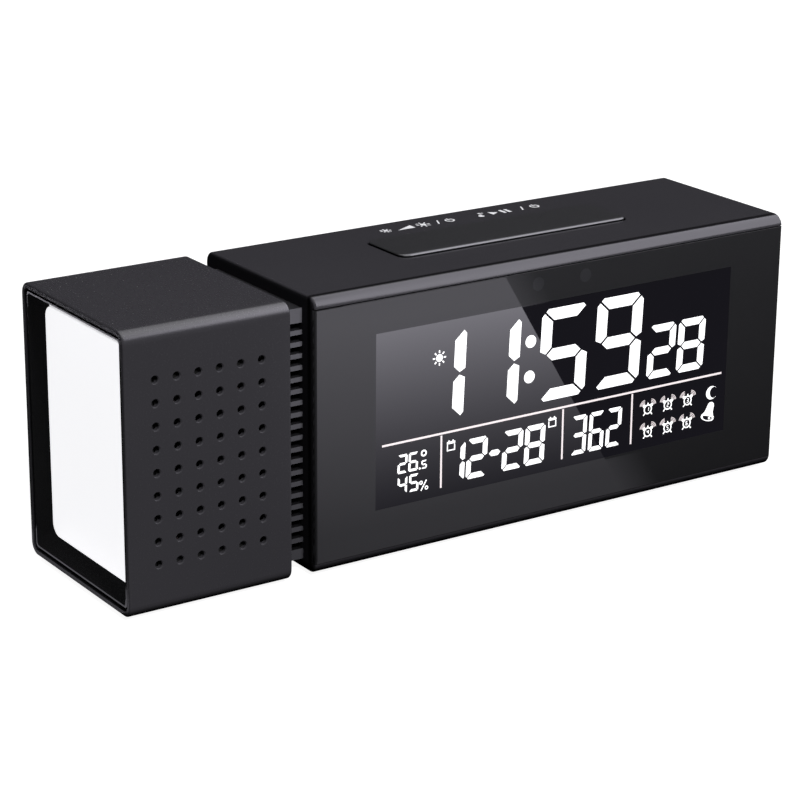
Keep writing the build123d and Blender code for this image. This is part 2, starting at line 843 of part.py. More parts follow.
# Temperature and humidity sensor in a slotted box behind the cover's vents
with BuildPart() as climate_sensor:
    with BuildSketch(upright(key_board_rear)):
        with Locations((body_mid, vent_z)):
            Rectangle(climate_width, climate_height)
    extrude(amount=-climate_thickness)
    with BuildSketch(upright(key_board_rear + climate_thickness)):
        with Locations((body_mid, vent_z)):
            with GridLocations(0, 2 * climate_vent, 1, climate_vent_count):
                SlotOverall(climate_width - 2 * climate_wall, climate_vent)
    extrude(amount=climate_thickness - climate_wall, mode=Mode.SUBTRACT)
save(climate_sensor, "climate_sensor")

# Back-up cell in its round holder, behind the door
with BuildPart() as cell_holder:
    with BuildSketch(upright(key_board_rear)):
        with Locations((cell_x, cell_z)):
            Circle(cell_radius + fit_gap + cell_holder_wall)
    extrude(amount=-cell_holder_base - cell_holder_height)
    with BuildSketch(upright(key_board_rear + cell_holder_base)):
        with Locations((cell_x, cell_z)):
            Circle(cell_radius + fit_gap)
    extrude(amount=-cell_holder_height, mode=Mode.SUBTRACT)
save(cell_holder, "cell_holder")

with BuildPart() as coin_cell:
    with BuildSketch(upright(key_board_rear + cell_holder_base)):
        with Locations((cell_x, cell_z)):
            Circle(cell_radius)
    extrude(amount=-cell_thickness)
save(coin_cell, "coin_cell")

with BuildPart() as battery_door:
    with BuildSketch(upright(cover_face)):
        with Locations((cell_x, cell_z)):
            RectangleRounded(
                door_size - 2 * door_gap, door_size - 2 * door_gap, door_corner_radius - door_gap
            )
    extrude(amount=door_plate)
    with BuildSketch(upright(cover_face - door_plate)):
        with Locations((cell_x, cell_z)):
            RectangleRounded(
                hatch_size - 2 * door_gap, hatch_size - 2 * door_gap, door_corner_radius - door_gap
            )
    extrude(amount=cover_thickness - door_plate)
    with BuildSketch(upright(cover_face)):
        with Locations((cell_x, cell_z + door_size / 2 - 2 * door_notch_radius)):
            with GridLocations(0, 2 * vent_height, 1, grip_count):
                SlotOverall(vent_length, vent_height)
    extrude(amount=door_notch_depth, mode=Mode.SUBTRACT)
save(battery_door, "battery_door")

# Ribbed neck: a block with level grooves front and back, a bore for the cable and a spigot into each wall
groove_y = (neck_depth - groove_depth + overrun) / 2
with BuildPart() as vent_neck:
    with BuildSketch(across(head_right)):
        with Locations((0, neck_mid)):
            Rectangle(neck_depth, neck_top - neck_bottom)
    extrude(amount=gap_width)
    with BuildSketch(across(head_right - overrun)):
        with Locations((-groove_y, groove_mid), (groove_y, groove_mid)):
            with GridLocations(0, rib_pitch, 1, rib_count + 1):
                Rectangle(groove_depth + overrun, groove_height)
    extrude(amount=gap_width + 2 * overrun, mode=Mode.SUBTRACT)
    with BuildSketch(across(head_right - case_wall)):
        with Locations((0, neck_mid)):
            Rectangle(spigot_width, spigot_height)
    extrude(amount=gap_width + 2 * case_wall)
    with BuildSketch(across(head_right - case_wall - overrun)):
        with Locations((0, neck_mid)):
            Rectangle(neck_bore_width, neck_bore_height)
    extrude(amount=gap_width + 2 * (case_wall + overrun), mode=Mode.SUBTRACT)
    with BuildSketch(across(head_right)):
        with Locations(*corners(neck_screw_spread / 2, neck_screw_z, 0, neck_mid)):
            Circle(pilot_radius)
    extrude(amount=neck_screw_bite, mode=Mode.SUBTRACT)
    with BuildSketch(across(body_left)):
        with Locations(*corners(neck_screw_spread / 2, neck_screw_z, 0, neck_mid)):
            Circle(pilot_radius)
    extrude(amount=-neck_screw_bite, mode=Mode.SUBTRACT)
save(vent_neck, "vent_neck")

# Screws that hold the neck from inside the case and inside the head
neck_screw_places = corners(neck_screw_spread / 2, neck_screw_z, 0, neck_mid)
body_neck_screws = screws(across(body_left + case_wall), neck_screw_places, case_wall + neck_screw_bite)
save(body_neck_screws, "body_neck_screws")
head_neck_screws = screws(
    Plane.ZY.offset(case_wall - head_right),
    [(z, y) for y, z in neck_screw_places],
    case_wall + neck_screw_bite,
)
save(head_neck_screws, "head_neck_screws")

# Lamp head: rounded shell open at the left, with the speaker's holes in its front
with BuildPart() as head_shell:
    with BuildSketch(across(case_left)):
        with Locations((0, case_mid)):
            RectangleRounded(case_depth, case_height, case_edge_radius)
    extrude(amount=head_length)
    head_ends = head_shell.faces().sort_by(Axis.X)
    fillet(head_ends[0].edges() + head_ends[-1].edges(), case_end_radius)
    with BuildSketch(across(case_left - overrun)):
        with Locations((0, case_mid)):
            RectangleRounded(
                case_depth - 2 * head_wall, case_height - 2 * head_wall, case_edge_radius - head_wall
            )
    extrude(amount=head_length - case_wall + overrun, mode=Mode.SUBTRACT)
    with BuildSketch(upright(head_front)):
        with Locations((head_mid, case_mid)):
            with GridLocations(0, 2 * speaker_screw_z, 1, 2):
                Circle(speaker_boss_radius)
    extrude(amount=-gasket_thickness)
    with BuildSketch(upright(gasket_back)):
        with Locations((head_mid, case_mid)):
            with GridLocations(0, 2 * speaker_screw_z, 1, 2):
                Circle(pilot_radius)
    extrude(amount=speaker_screw_bite, mode=Mode.SUBTRACT)
    with BuildSketch(upright(case_front)):
        with Locations((head_mid, case_mid)):
            with GridLocations(hole_spacing, hole_spacing, hole_columns, hole_rows):
                Circle(hole_radius)
    extrude(amount=-head_wall, mode=Mode.SUBTRACT)
    chamfer(head_shell.faces().sort_by(Axis.Y)[0].inner_wires().edges(), hole_break)
    with BuildSketch(across(head_right - case_wall - overrun)):
        with Locations((0, neck_mid)):
            Rectangle(spigot_width + 2 * fit_gap, spigot_height + 2 * fit_gap)
        with Locations(*neck_screw_places):
            Circle(pilot_radius)
    extrude(amount=case_wall + 2 * overrun, mode=Mode.SUBTRACT)
    with BuildSketch(level(case_bottom)):
        with Locations(*foot_places[:2]):
            Circle(foot_radius + fit_gap)
    extrude(amount=foot_recess, mode=Mode.SUBTRACT)
save(head_shell, "head_shell")

# Lamp bezel: frame whose inner faces slope in to the window
with BuildPart() as lamp_bezel:
    with BuildSketch(across(bezel_front)):
        with Locations((0, case_mid)):
            RectangleRounded(case_depth - 2 * bezel_inset, case_height - 2 * bezel_inset, bezel_corner_radius)
    extrude(amount=bezel_depth)
    with BuildSketch(across(bezel_front)):
        with Locations((0, case_mid)):
            RectangleRounded(
                case_depth - 2 * (bezel_inset + bezel_land),
                case_height - 2 * (bezel_inset + bezel_land),
                bezel_corner_radius,
            )
    with BuildSketch(across(bezel_back)):
        with Locations((0, case_mid + window_lift)):
            RectangleRounded(
                case_depth - 2 * window_inset, case_height - 2 * window_inset, window_corner_radius
            )
    loft(mode=Mode.SUBTRACT)
save(lamp_bezel, "lamp_bezel")

# White panel behind the bezel
with BuildPart() as lamp_diffuser:
    with BuildSketch(across(bezel_back)):
        with Locations((0, case_mid)):
            RectangleRounded(
                case_depth - 2 * diffuser_inset, case_height - 2 * diffuser_inset, window_corner_radius
            )
    extrude(amount=diffuser_thickness)
save(lamp_diffuser, "lamp_diffuser")

# Clear plate lit from its lower edge, with a white sheet behind it
with BuildPart() as light_guide:
    with BuildSketch(across(diffuser_back)):
        with Locations((0, guide_mid)):
            Rectangle(case_depth - 2 * diffuser_inset, guide_top - guide_bottom)
    extrude(amount=guide_thickness)
save(light_guide, "light_guide")

with BuildPart() as lamp_reflector:
    with BuildSketch(across(guide_back)):
        with Locations((0, case_mid)):
            Rectangle(
                case_depth - 2 * (tray_inner_inset + tray_corner_radius),
                case_height - 2 * (tray_inner_inset + tray_corner_radius),
            )
    extrude(amount=reflector_thickness)
save(lamp_reflector, "lamp_reflector")

led_x = (diffuser_back + guide_back) / 2
with BuildPart() as led_strip:
    with BuildSketch(level(tray_floor)):
        with Locations((led_x, 0)):
            Rectangle(led_strip_width, led_strip_length)
    extrude(amount=led_strip_thickness)
save(led_strip, "led_strip")

with BuildPart() as lamp_leds:
    with BuildSketch(level(led_bottom)):
        with Locations((led_x, 0)):
            with GridLocations(0, led_spacing, 1, led_count):
                Rectangle(led_width, led_length)
    extrude(amount=led_height)
save(lamp_leds, "lamp_leds")

# Tray that holds the lamp's plates in the head
with BuildPart() as lamp_tray:
    with BuildSketch(across(bezel_back)):
        with Locations((0, case_mid)):
            RectangleRounded(
                case_depth - 2 * tray_inset, case_height - 2 * tray_inset, case_edge_radius - tray_inset
            )
    extrude(amount=tray_rear - bezel_back)
    with BuildSketch(across(bezel_back)):
        with Locations((0, case_mid)):
            RectangleRounded(
                case_depth - 2 * tray_inner_inset, case_height - 2 * tray_inner_inset, tray_corner_radius
            )
    extrude(amount=reflector_back - bezel_back, mode=Mode.SUBTRACT)
save(lamp_tray, "lamp_tray")

# Oblong speaker behind the holes: gasket, frame, roll, cone, coil and magnet
with BuildPart() as speaker_gasket:
    with BuildSketch(upright(head_front)):
        with Locations((head_mid, case_mid)):
            RectangleRounded(speaker_width, speaker_flange_height, speaker_corner_radius)
            SlotCenterToCenter(speaker_straight, speaker_opening, rotation=90, mode=Mode.SUBTRACT)
            with GridLocations(0, 2 * speaker_screw_z, 1, 2):
                Circle(speaker_boss_radius + fit_gap, mode=Mode.SUBTRACT)
    extrude(amount=-gasket_thickness)
save(speaker_gasket, "speaker_gasket")

with BuildPart() as speaker_frame:
    with BuildSketch(upright(flange_back)):
        with Locations((head_mid, case_mid)):
            SlotCenterToCenter(speaker_straight, speaker_opening + 2 * basket_wall, rotation=90)
    with BuildSketch(upright(basket_back)):
        with Locations((head_mid, case_mid)):
            SlotCenterToCenter(
                speaker_straight, speaker_opening + 2 * (basket_wall - basket_taper), rotation=90
            )
    loft()
    with BuildSketch(upright(gasket_back)):
        with Locations((head_mid, case_mid)):
            RectangleRounded(speaker_width, speaker_flange_height, speaker_corner_radius)
            with GridLocations(0, 2 * speaker_screw_z, 1, 2):
                Circle(pilot_radius, mode=Mode.SUBTRACT)
    extrude(amount=-speaker_flange_thickness)
    with BuildSketch(upright(gasket_back)):
        with Locations((head_mid, case_mid)):
            SlotCenterToCenter(speaker_straight, speaker_opening, rotation=90)
    extrude(amount=-speaker_flange_thickness, mode=Mode.SUBTRACT)
    with BuildSketch(upright(flange_back)):
        with Locations((head_mid, case_mid)):
            SlotCenterToCenter(speaker_straight, speaker_opening, rotation=90)
    with BuildSketch(upright(basket_back - basket_wall)):
        with Locations((head_mid, case_mid)):
            SlotCenterToCenter(speaker_straight, speaker_opening - 2 * basket_taper, rotation=90)
    loft(mode=Mode.SUBTRACT)
save(speaker_frame, "speaker_frame")

with BuildPart() as speaker_surround:
    with BuildSketch(upright(gasket_back)):
        with Locations((head_mid, case_mid)):
            SlotCenterToCenter(speaker_straight, speaker_opening - speaker_roll_inset, rotation=90)
            SlotCenterToCenter(
                speaker_straight, cone_width + 2 * run_gap, rotation=90, mode=Mode.SUBTRACT
            )
    extrude(amount=-speaker_roll_thickness)
save(speaker_surround, "speaker_surround")

cone_back = gasket_back + cone_depth
with BuildPart() as speaker_cone:
    with BuildSketch(upright(gasket_back)):
        with Locations((head_mid, case_mid)):
            SlotCenterToCenter(speaker_straight, cone_width, rotation=90)
    with BuildSketch(upright(cone_back)):
        with Locations((head_mid, case_mid)):
            SlotCenterToCenter(speaker_straight, cone_width - 2 * cone_taper, rotation=90)
    loft()
    with BuildSketch(upright(gasket_back)):
        with Locations((head_mid, case_mid)):
            SlotCenterToCenter(speaker_straight, cone_width - 2 * cone_thickness, rotation=90)
    with BuildSketch(upright(cone_back - cone_thickness)):
        with Locations((head_mid, case_mid)):
            SlotCenterToCenter(
                speaker_straight, cone_width - 2 * (cone_taper + cone_thickness), rotation=90
            )
    loft(mode=Mode.SUBTRACT)
save(speaker_cone, "speaker_cone")

with BuildPart() as voice_coil:
    with BuildSketch(upright(cone_back)):
        with Locations((head_mid, case_mid)):
            Circle(coil_radius)
            Circle(coil_radius - coil_wall, mode=Mode.SUBTRACT)
    extrude(amount=cone_back + fit_gap - basket_back + basket_wall)
save(voice_coil, "voice_coil")

with BuildPart() as speaker_magnet:
    with BuildSketch(upright(basket_back)):
        with Locations((head_mid, case_mid)):
            Circle(magnet_radius)
    extrude(amount=-magnet_depth)
save(speaker_magnet, "speaker_magnet")

speaker_screws = screws(
    Plane.ZX.offset(flange_back),
    [(case_mid - speaker_screw_z, head_mid), (case_mid + speaker_screw_z, head_mid)],
    speaker_flange_thickness + speaker_screw_bite,
)
save(speaker_screws, "speaker_screws")

# Flat cable from the lamp tray through the neck to the main board
cable_z = case_mid - cable_drop
landing_x = body_mid - board_width / 2 + cable_landing
with BuildPart() as head_cable:
    with BuildLine(level(cable_z)):
        FilletPolyline(
            (tray_rear, cable_depth), (landing_x, cable_depth), (landing_x, board_rear), radius=cable_bend
        )
    with BuildSketch(across(tray_rear)):
        with Locations((cable_depth, cable_z)):
            Rectangle(cable_thickness, cable_width)
    sweep()
save(head_cable, "head_cable")

# Flat cable between the two upright boards
with BuildPart() as board_cable:
    with BuildSketch(upright(board_rear)):
        with Locations((body_mid - link_offset, case_mid - link_drop)):
            Rectangle(cable_width, cable_thickness)
    extrude(amount=board_rear - key_board_front)
save(board_cable, "board_cable")

# Rubber feet in shallow pockets
with BuildPart() as feet:
    with BuildSketch(level(0)):
        with Locations(*foot_places):
            Circle(foot_radius)
    extrude(amount=foot_height + foot_recess)
    fillet(feet.faces().group_by(Axis.Z)[0].edges(), foot_edge_radius)
save(feet, "feet")
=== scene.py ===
import json
import math

import bmesh
import bpy
from mathutils import Matrix, Vector


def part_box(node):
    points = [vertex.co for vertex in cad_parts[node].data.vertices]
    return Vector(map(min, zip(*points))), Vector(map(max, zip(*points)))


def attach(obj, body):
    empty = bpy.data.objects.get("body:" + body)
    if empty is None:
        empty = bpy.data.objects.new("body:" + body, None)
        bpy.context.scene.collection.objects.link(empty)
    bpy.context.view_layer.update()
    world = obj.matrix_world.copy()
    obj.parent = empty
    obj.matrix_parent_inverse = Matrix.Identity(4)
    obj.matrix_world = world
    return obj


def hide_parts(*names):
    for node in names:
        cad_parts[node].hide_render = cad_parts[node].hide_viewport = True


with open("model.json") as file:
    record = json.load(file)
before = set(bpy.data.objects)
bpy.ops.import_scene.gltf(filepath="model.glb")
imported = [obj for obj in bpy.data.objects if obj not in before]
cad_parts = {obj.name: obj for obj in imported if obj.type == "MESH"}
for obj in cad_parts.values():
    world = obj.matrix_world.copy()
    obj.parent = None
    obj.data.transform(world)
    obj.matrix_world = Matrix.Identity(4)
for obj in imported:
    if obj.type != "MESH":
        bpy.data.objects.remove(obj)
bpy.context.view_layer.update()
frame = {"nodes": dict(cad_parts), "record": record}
nodes = frame["nodes"]
MM = 0.001

# Finishes


def linear(hex_colour):
    """An sRGB hex colour as linear RGBA."""
    parts = [int(hex_colour[i:i + 2], 16) / 255 for i in (1, 3, 5)]
    return [p / 12.92 if p <= 0.04045 else ((p + 0.055) / 1.055) ** 2.4 for p in parts] + [1.0]


def add(tree, kind, inputs=(), **settings):
    """Adds a node. inputs pairs a socket's name or number with a value or with another node's output."""
    node = tree.nodes.new(kind)
    for name, value in settings.items():
        setattr(node, name, value)
    for socket, value in dict(inputs).items():
        if isinstance(value, bpy.types.NodeSocket):
            tree.links.new(value, node.inputs[socket])
        else:
            node.inputs[socket].default_value = value
    return node


def new_finish(name):
    """An empty material and its tree."""
    made = bpy.data.materials.new(name)
    made.use_nodes = True
    made.node_tree.nodes.clear()
    return made, made.node_tree


def surface(name, tones, grain, depth, rough, cloud=20.0, stretch=(1, 1, 1), ramps=(), **sockets):
    """A made surface: colour that drifts between two tones over cloud mm, and a grain of that size and depth
    in mm in its bump and its roughness, drawn out along the axes where stretch is small. sockets are constants
    of the shader, and ramps are sockets that change along an axis: socket, axis, then a place in mm and a value
    twice. Ramps of one socket are multiplied, and those of the colour scale it."""
    made, tree = new_finish(name)
    place = add(tree, "ShaderNodeTexCoord").outputs["Object"]
    lay = add(tree, "ShaderNodeMapping", {"Vector": place, "Scale": stretch}).outputs[0]
    drift = add(tree, "ShaderNodeTexNoise", {"Vector": place, "Scale": 1 / (cloud * MM), "Detail": 3.0})
    fine = add(tree, "ShaderNodeTexNoise", {"Vector": lay, "Scale": 1 / (grain * MM), "Detail": 2.0})
    tone = add(tree, "ShaderNodeMix", {0: drift.outputs[0], 6: linear(tones[0]), 7: linear(tones[1])},
               data_type="RGBA")
    gloss = add(tree, "ShaderNodeMapRange", {"Value": fine.outputs[0], "From Min": 0.3, "From Max": 0.7,
                                             "To Min": rough[0], "To Max": rough[1]})
    bump = add(tree, "ShaderNodeBump", {"Height": fine.outputs[0], "Distance": depth * MM, "Strength": 1.0})
    shader = add(tree, "ShaderNodeBsdfPrincipled", {"Base Color": tone.outputs[2], "Normal": bump.outputs[0],
                                                    "Roughness": gloss.outputs[0]})
    for socket, value in sockets.items():
        shader.inputs[socket.replace("_", " ")].default_value = value
    apart = add(tree, "ShaderNodeSeparateXYZ", {0: place})
    for socket, axis, start, first, end, last in ramps:
        level = add(tree, "ShaderNodeMapRange", {"Value": apart.outputs[axis], "From Min": start * MM,
                                                 "From Max": end * MM, "To Min": first, "To Max": last})
        if shader.inputs[socket].is_linked:
            earlier = shader.inputs[socket].links[0].from_socket
            level = add(tree, "ShaderNodeVectorMath", {0: earlier, "Scale": level.outputs[0]},
                        operation="SCALE")
        tree.links.new(level.outputs[0], shader.inputs[socket])
    add(tree, "ShaderNodeOutputMaterial", {"Surface": shader.outputs[0]})
    return made


finish = {}

# Lamp head: ABS moulded in a spark-eroded tool, which gives a satin charcoal with a faint grain. The real grain
# is about 0.1 mm. It is drawn at 0.45 mm to show, and at 0.45 to 0.55 mm on the other ABS pieces. The gloss is
# strongest on the upper edges, to stand in for soft light that only they take, and the colour is drawn darker
# where the head curves under, a painted shade.
finish["case_plastic"] = surface("satin_charcoal_abs", ("#333236", "#38373b"), 0.45, 0.0002, (0.24, 0.28),
                                 cloud=45, IOR=1.53,
                                 ramps=(("Base Color", "Z", 1.4, 0.12, 3.1, 1.0),
                                        ("Specular IOR Level", "Z", 66.6, 0.12, 68.1, 1.1),
                                        ("Specular IOR Level", "Z", 68.2, 1.0, 68.78, 0.5)))
# Main case: the same ABS from a smoother tool. Its front edge is drawn paler, to stand in for a band of light.
# Behind that edge the colour is drawn darker in a line about 1 mm wide. A dark line about 1 mm wide, taken for
# the parting line, runs round the case behind that edge. The dead matt end towards the neck and the darker
# curve under both cases stand in for shade.
finish["body_gloss"] = surface("smooth_charcoal_abs", ("#323135", "#37363a"), 0.45, 0.0005, (0.14, 0.18),
                               cloud=45, IOR=1.53,
                               ramps=(("Base Color", "Z", 1.9, 0.06, 3.4, 1.0),
                                      ("Base Color", "Y", -23.1, 4.0, -22.7, 1.0),
                                      ("Base Color", "Y", -22.0, 0.25, -21.3, 1.0),
                                      ("Specular IOR Level", "Y", -23.1, 0.5, -22.7, 0.03),
                                      ("Specular IOR Level", "Y", -22.0, 1.0, -21.3, 2.0),
                                      ("Specular IOR Level", "X", -45.72, 0.0, -45.3, 1.0)))
# Bar: as the main case, a little duller. Its paler front edge and its dark, dull sides stand in for the light
# and shade of a bar that stands higher.
finish["bar_plastic"] = surface("bar_abs_painted_edge_light", ("#2e2e30", "#333335"), 0.5, 0.0004, (0.18, 0.22),
                                cloud=25, IOR=1.53,
                                ramps=(("Base Color", "Z", 69.0, 0.03, 69.12, 1.0),
                                       ("Base Color", "Y", -6.5, 3.5, -5.8, 1.0),
                                       ("Specular IOR Level", "Z", 69.0, 0.0, 69.12, 0.9)))
# Back cover and door: dead matt black ABS, with a deeper grain.
finish["cover_plastic"] = surface("matt_black_abs", ("#262629", "#2b2b2f"), 0.55, 0.012, (0.55, 0.68),
                                  cloud=30, IOR=1.53, Specular_IOR_Level=0.4)
# Rear keys: soft-touch lacquer on ABS, a dry sheen with no grain to speak of.
finish["key_plastic"] = surface("soft_touch_keys", ("#36363b", "#3b3b40"), 0.5, 0.002, (0.6, 0.7),
                                cloud=12, IOR=1.5, Sheen_Weight=0.15, Sheen_Roughness=0.5)
# Lamp bezel and tray: black ABS from a polished tool.
finish["bezel_plastic"] = surface("black_bezel_abs", ("#171718", "#1b1b1c"), 0.5, 0.0005, (0.08, 0.12),
                                  cloud=25, IOR=1.53)
# Ribbed neck: thermoplastic elastomer, dull black. To stand in for light and shade, the fronts of the ribs,
# front and back, are paler, less so towards the foot, and the grooves and the top darker.
finish["neck_rubber"] = surface("dull_neck_elastomer", ("#5a595f", "#66656b"), 0.4, 0.008, (0.6, 0.75),
                                cloud=9, IOR=1.5, Specular_IOR_Level=0.4,
                                ramps=(("Base Color", "Y", -19.2, 1.0, -18.9, 0.12),
                                       ("Base Color", "Y", 18.9, 1.0, 19.2, 8.3),
                                       ("Base Color", "Z", 8.0, 0.42, 58.0, 1.0)))
# Tape: die-cut black PET film with an acrylic adhesive.
finish["tape_black"] = surface("black_film_tape", ("#0b0b0c", "#111112"), 0.6, 0.003, (0.4, 0.5), IOR=1.57)
# Display glass: polariser film over soda glass, off and dark.
finish["display_glass"] = surface("dark_polariser", ("#121217", "#17171d"), 1.5, 0.001, (0.05, 0.09),
                                  IOR=1.52)
# Backlight and light guide: clear PMMA with a dotted back, milky from the dots.
finish["clear_plate"] = surface("dotted_guide_pmma", ("#dfe3e6", "#f2f4f5"), 0.8, 0.02, (0.1, 0.22), cloud=6,
                                IOR=1.49, Transmission_Weight=0.4)
# White fittings: high-impact polystyrene, slightly warm and satin.
finish["white_plastic"] = surface("white_polystyrene", ("#e3e1dc", "#eceae6"), 0.5, 0.006, (0.4, 0.5),
                                  IOR=1.59)
# Boards: FR4 with green solder mask, the weave just telling through. The lamp's strip has white mask.
finish["circuit_board"] = surface("green_solder_mask", ("#0f3d27", "#1a5a39"), 0.9, 0.01, (0.3, 0.42),
                                  cloud=2.4, IOR=1.52)
finish["strip_board"] = surface("white_solder_mask", ("#d9dad6", "#e8e8e4"), 0.9, 0.01, (0.35, 0.45), cloud=3,
                                IOR=1.52)
# Lamp diodes: phosphor in silicone.
finish["led_body"] = surface("yellow_phosphor", ("#e6c54a", "#f1dc85"), 0.3, 0.01, (0.3, 0.4), cloud=1.5,
                             IOR=1.43)
# Clock chip: black epoxy moulding compound. Switches and cell holder, of filled polyester, look the same.
finish["chip_black"] = surface("black_epoxy", ("#151516", "#1d1d1f"), 0.25, 0.01, (0.5, 0.6), cloud=4,
                               IOR=1.55)
# Infrared parts: epoxy that looks black-violet.
finish["sensor_resin"] = surface("infrared_epoxy", ("#16121d", "#211a2b"), 0.5, 0.002, (0.1, 0.16), cloud=3,
                                 IOR=1.55)
# Plungers: acetal, waxy and white.
finish["plunger_plastic"] = surface("waxy_acetal", ("#dcdad2", "#e7e6df"), 0.5, 0.003, (0.35, 0.42), IOR=1.48)
# Screws and pin: zinc-plated steel, turned and tumbled.
finish["screw_steel"] = surface("zinc_plated_steel", ("#8f9196", "#a9abb0"), 0.25, 0.006, (0.3, 0.42),
                                cloud=3, Metallic=1.0)
# Inlet shell, coin cell and the radio module's can: bright nickel plate with drawing lines.
finish["plated_steel"] = surface("nickel_plate", ("#a9a7a1", "#bdbbb5"), 0.3, 0.004, (0.2, 0.3), cloud=6,
                                 stretch=(1, 1, 0.15), Metallic=1.0)
# Zebra strip: silicone in pink and black layers 0.18 mm apart, drawn at 0.3 mm as a dull, uneven grey. The
# speaker's surround has its finish too.
finish["contact_rubber"] = surface("layered_silicone", ("#4a4346", "#8d7d80"), 0.3, 0.01, (0.6, 0.7),
                                   cloud=0.3, IOR=1.43)
# Gasket: closed-cell foam.
finish["gasket_foam"] = surface("black_foam", ("#141414", "#222222"), 0.5, 0.08, (0.8, 0.95), cloud=1.2,
                                IOR=1.45)
# Speaker basket: pressed steel with black electrophoretic paint.
finish["speaker_steel"] = surface("black_painted_basket", ("#19191b", "#222225"), 0.5, 0.006, (0.35, 0.45),
                                  IOR=1.5)
# Cone: pressed paper pulp with short fibres.
finish["cone_paper"] = surface("pressed_pulp", ("#141415", "#2a2928"), 0.35, 0.05, (0.75, 0.9), cloud=1.5,
                               stretch=(1, 1, 0.3), IOR=1.45)
# Voice coil: enamelled copper wire, wound level.
finish["coil_wire"] = surface("enamelled_copper", ("#8a4320", "#b8683a"), 0.2, 0.02, (0.25, 0.35), cloud=3,
                              stretch=(0.1, 4, 0.1), Metallic=1.0)
# Magnet: sintered ferrite, dark and slightly chalky.
finish["magnet_ferrite"] = surface("sintered_ferrite", ("#2b2a2b", "#383637"), 0.3, 0.02, (0.65, 0.8),
                                   cloud=3, IOR=1.6)
# Cables: PVC ribbon, satin grey.
finish["cable_plastic"] = surface("grey_pvc", ("#77777c", "#8c8c91"), 0.6, 0.01, (0.4, 0.5), cloud=4,
                                  IOR=1.53)
# Feet: silicone rubber pads, dull black.
finish["foot_rubber"] = surface("black_silicone_foot", ("#141414", "#1d1d1d"), 0.4, 0.01, (0.7, 0.85),
                                cloud=4, IOR=1.43)

# Lens rim: clear PMMA screened black from behind. The polished face is a coat with a sharp reflection, and the
# ink's dull gloss shows under it. It is darker towards the foot, to stand in for shade.
finish["lens_acrylic"] = surface("back_printed_pmma", ("#252527", "#28282a"), 9.0, 0.0002, (0.4, 0.46),
                                 cloud=60, IOR=1.49, Specular_IOR_Level=0.1, Coat_Weight=1.0, Coat_IOR=1.385,
                                 Coat_Roughness=0.015, ramps=(("Base Color", "Z", 3.0, 0.6, 65.0, 1.02),))
# Display face: polariser film with a hard coat. It mirrors less towards its foot, to stand in for a reflection
# that fades.
finish["display_face"] = surface("unlit_display", ("#19181d", "#1b1a20"), 7.0, 0.0001, (0.2, 0.25), cloud=50,
                                 Specular_IOR_Level=0.0, Coat_IOR=1.8, Coat_Roughness=0.012,
                                 ramps=(("Coat Weight", "Z", 13.5, 0.17, 57.5, 1.0),))
# Infrared windows: smoked PMMA, thinner print, so a shade paler than the rim.
finish["sensor_window"] = surface("smoked_pmma_window", ("#2c2c2f", "#313134"), 2.0, 0.0005, (0.4, 0.46),
                                  cloud=3, IOR=1.49, Specular_IOR_Level=0.1, Coat_Weight=1.0, Coat_IOR=1.42,
                                  Coat_Roughness=0.015)
# Lit signs and rules: clear segments with the white backlight behind them, a little uneven as the guide's dots
# are. The rules are thinner and pass less of it.
finish["lit_sign"] = surface("backlit_segment", ("#d8d8da", "#e2e2e4"), 2.0, 0.0005, (0.1, 0.15), cloud=15,
                             IOR=1.5, Emission_Color=linear("#ffffff"), Emission_Strength=0.92)
finish["lit_rule"] = surface("backlit_rule", ("#b9b2b4", "#c4bdbf"), 2.0, 0.0005, (0.1, 0.15), cloud=15,
                             IOR=1.5, Emission_Color=linear("#fff3f4"), Emission_Strength=0.6)
# Pad print: matt pale ink, thin over the grain.
finish["pad_print"] = surface("pale_pad_print", ("#dedee2", "#ececf0"), 0.45, 0.004, (0.5, 0.6), cloud=2,
                              IOR=1.5)
# Diffuser: opal PMMA lit from its edge by the guide, even and white.
finish["diffuser_opal"] = surface("lit_opal_pmma", ("#eceded", "#f3f3f3"), 1.0, 0.002, (0.25, 0.32), cloud=30,
                                  IOR=1.49, Emission_Color=linear("#fcfcff"), Emission_Strength=0.72)

# Two nodes look unlike the others of their slot
OWN_FINISH = {"vent_neck": "neck_rubber", "body_shell": "body_gloss"}
for part in frame["record"]["subparts"]:
    wear = OWN_FINISH.get(part["node"], part["material_slot"])
    for place in nodes[part["node"]].material_slots:
        place.material = finish[wear]

# Sheets: flat signs are drawn in mm on a sheet, x along the case from its left end and y up the front or along
# the top, and then laid in place with a little thickness

BODY_LOW, BODY_HIGH = (Vector(corner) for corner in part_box("body_shell"))
LENS_LOW, LENS_HIGH = (Vector(corner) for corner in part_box("front_lens"))
FRONT_SINK = 0.03     # the lens face behind the CAD face, so the sensor windows stay inside the box
TOP_SEAM = 0.18       # how much wider the seam over the lens shows
DISPLAY_SINK = 0.10   # the display face behind the lens face
FACE_RISE = 0.04      # thickness of the display face
SIGN_RISE = 0.03      # thickness of a sign
SENSOR_RISE = 0.015   # thickness of a sensor window
PRINT_RISE = 0.02     # thickness of the print on the top
WINDOW_DRAFT = 0.01   # how far the window's edge slopes in
NEAR = 0.01           # places this close are one


def laid_on_front(sink):
    """Takes a sheet to the front of the case, sink mm behind the CAD face."""
    return (Matrix.Translation((BODY_LOW.x, LENS_LOW.y + sink * MM, BODY_LOW.z))
            @ Matrix.Rotation(math.radians(90), 4, "X") @ Matrix.Scale(MM, 4))


SIGNS = laid_on_front(FRONT_SINK + DISPLAY_SINK - FACE_RISE)
LAID_ON_TOP = Matrix.Translation((BODY_LOW.x, BODY_LOW.y, BODY_HIGH.z)) @ Matrix.Scale(MM, 4)


def new_object(name, data):
    """An object in the scene that holds data."""
    made = bpy.data.objects.new(name, data)
    bpy.context.scene.collection.objects.link(made)
    return made


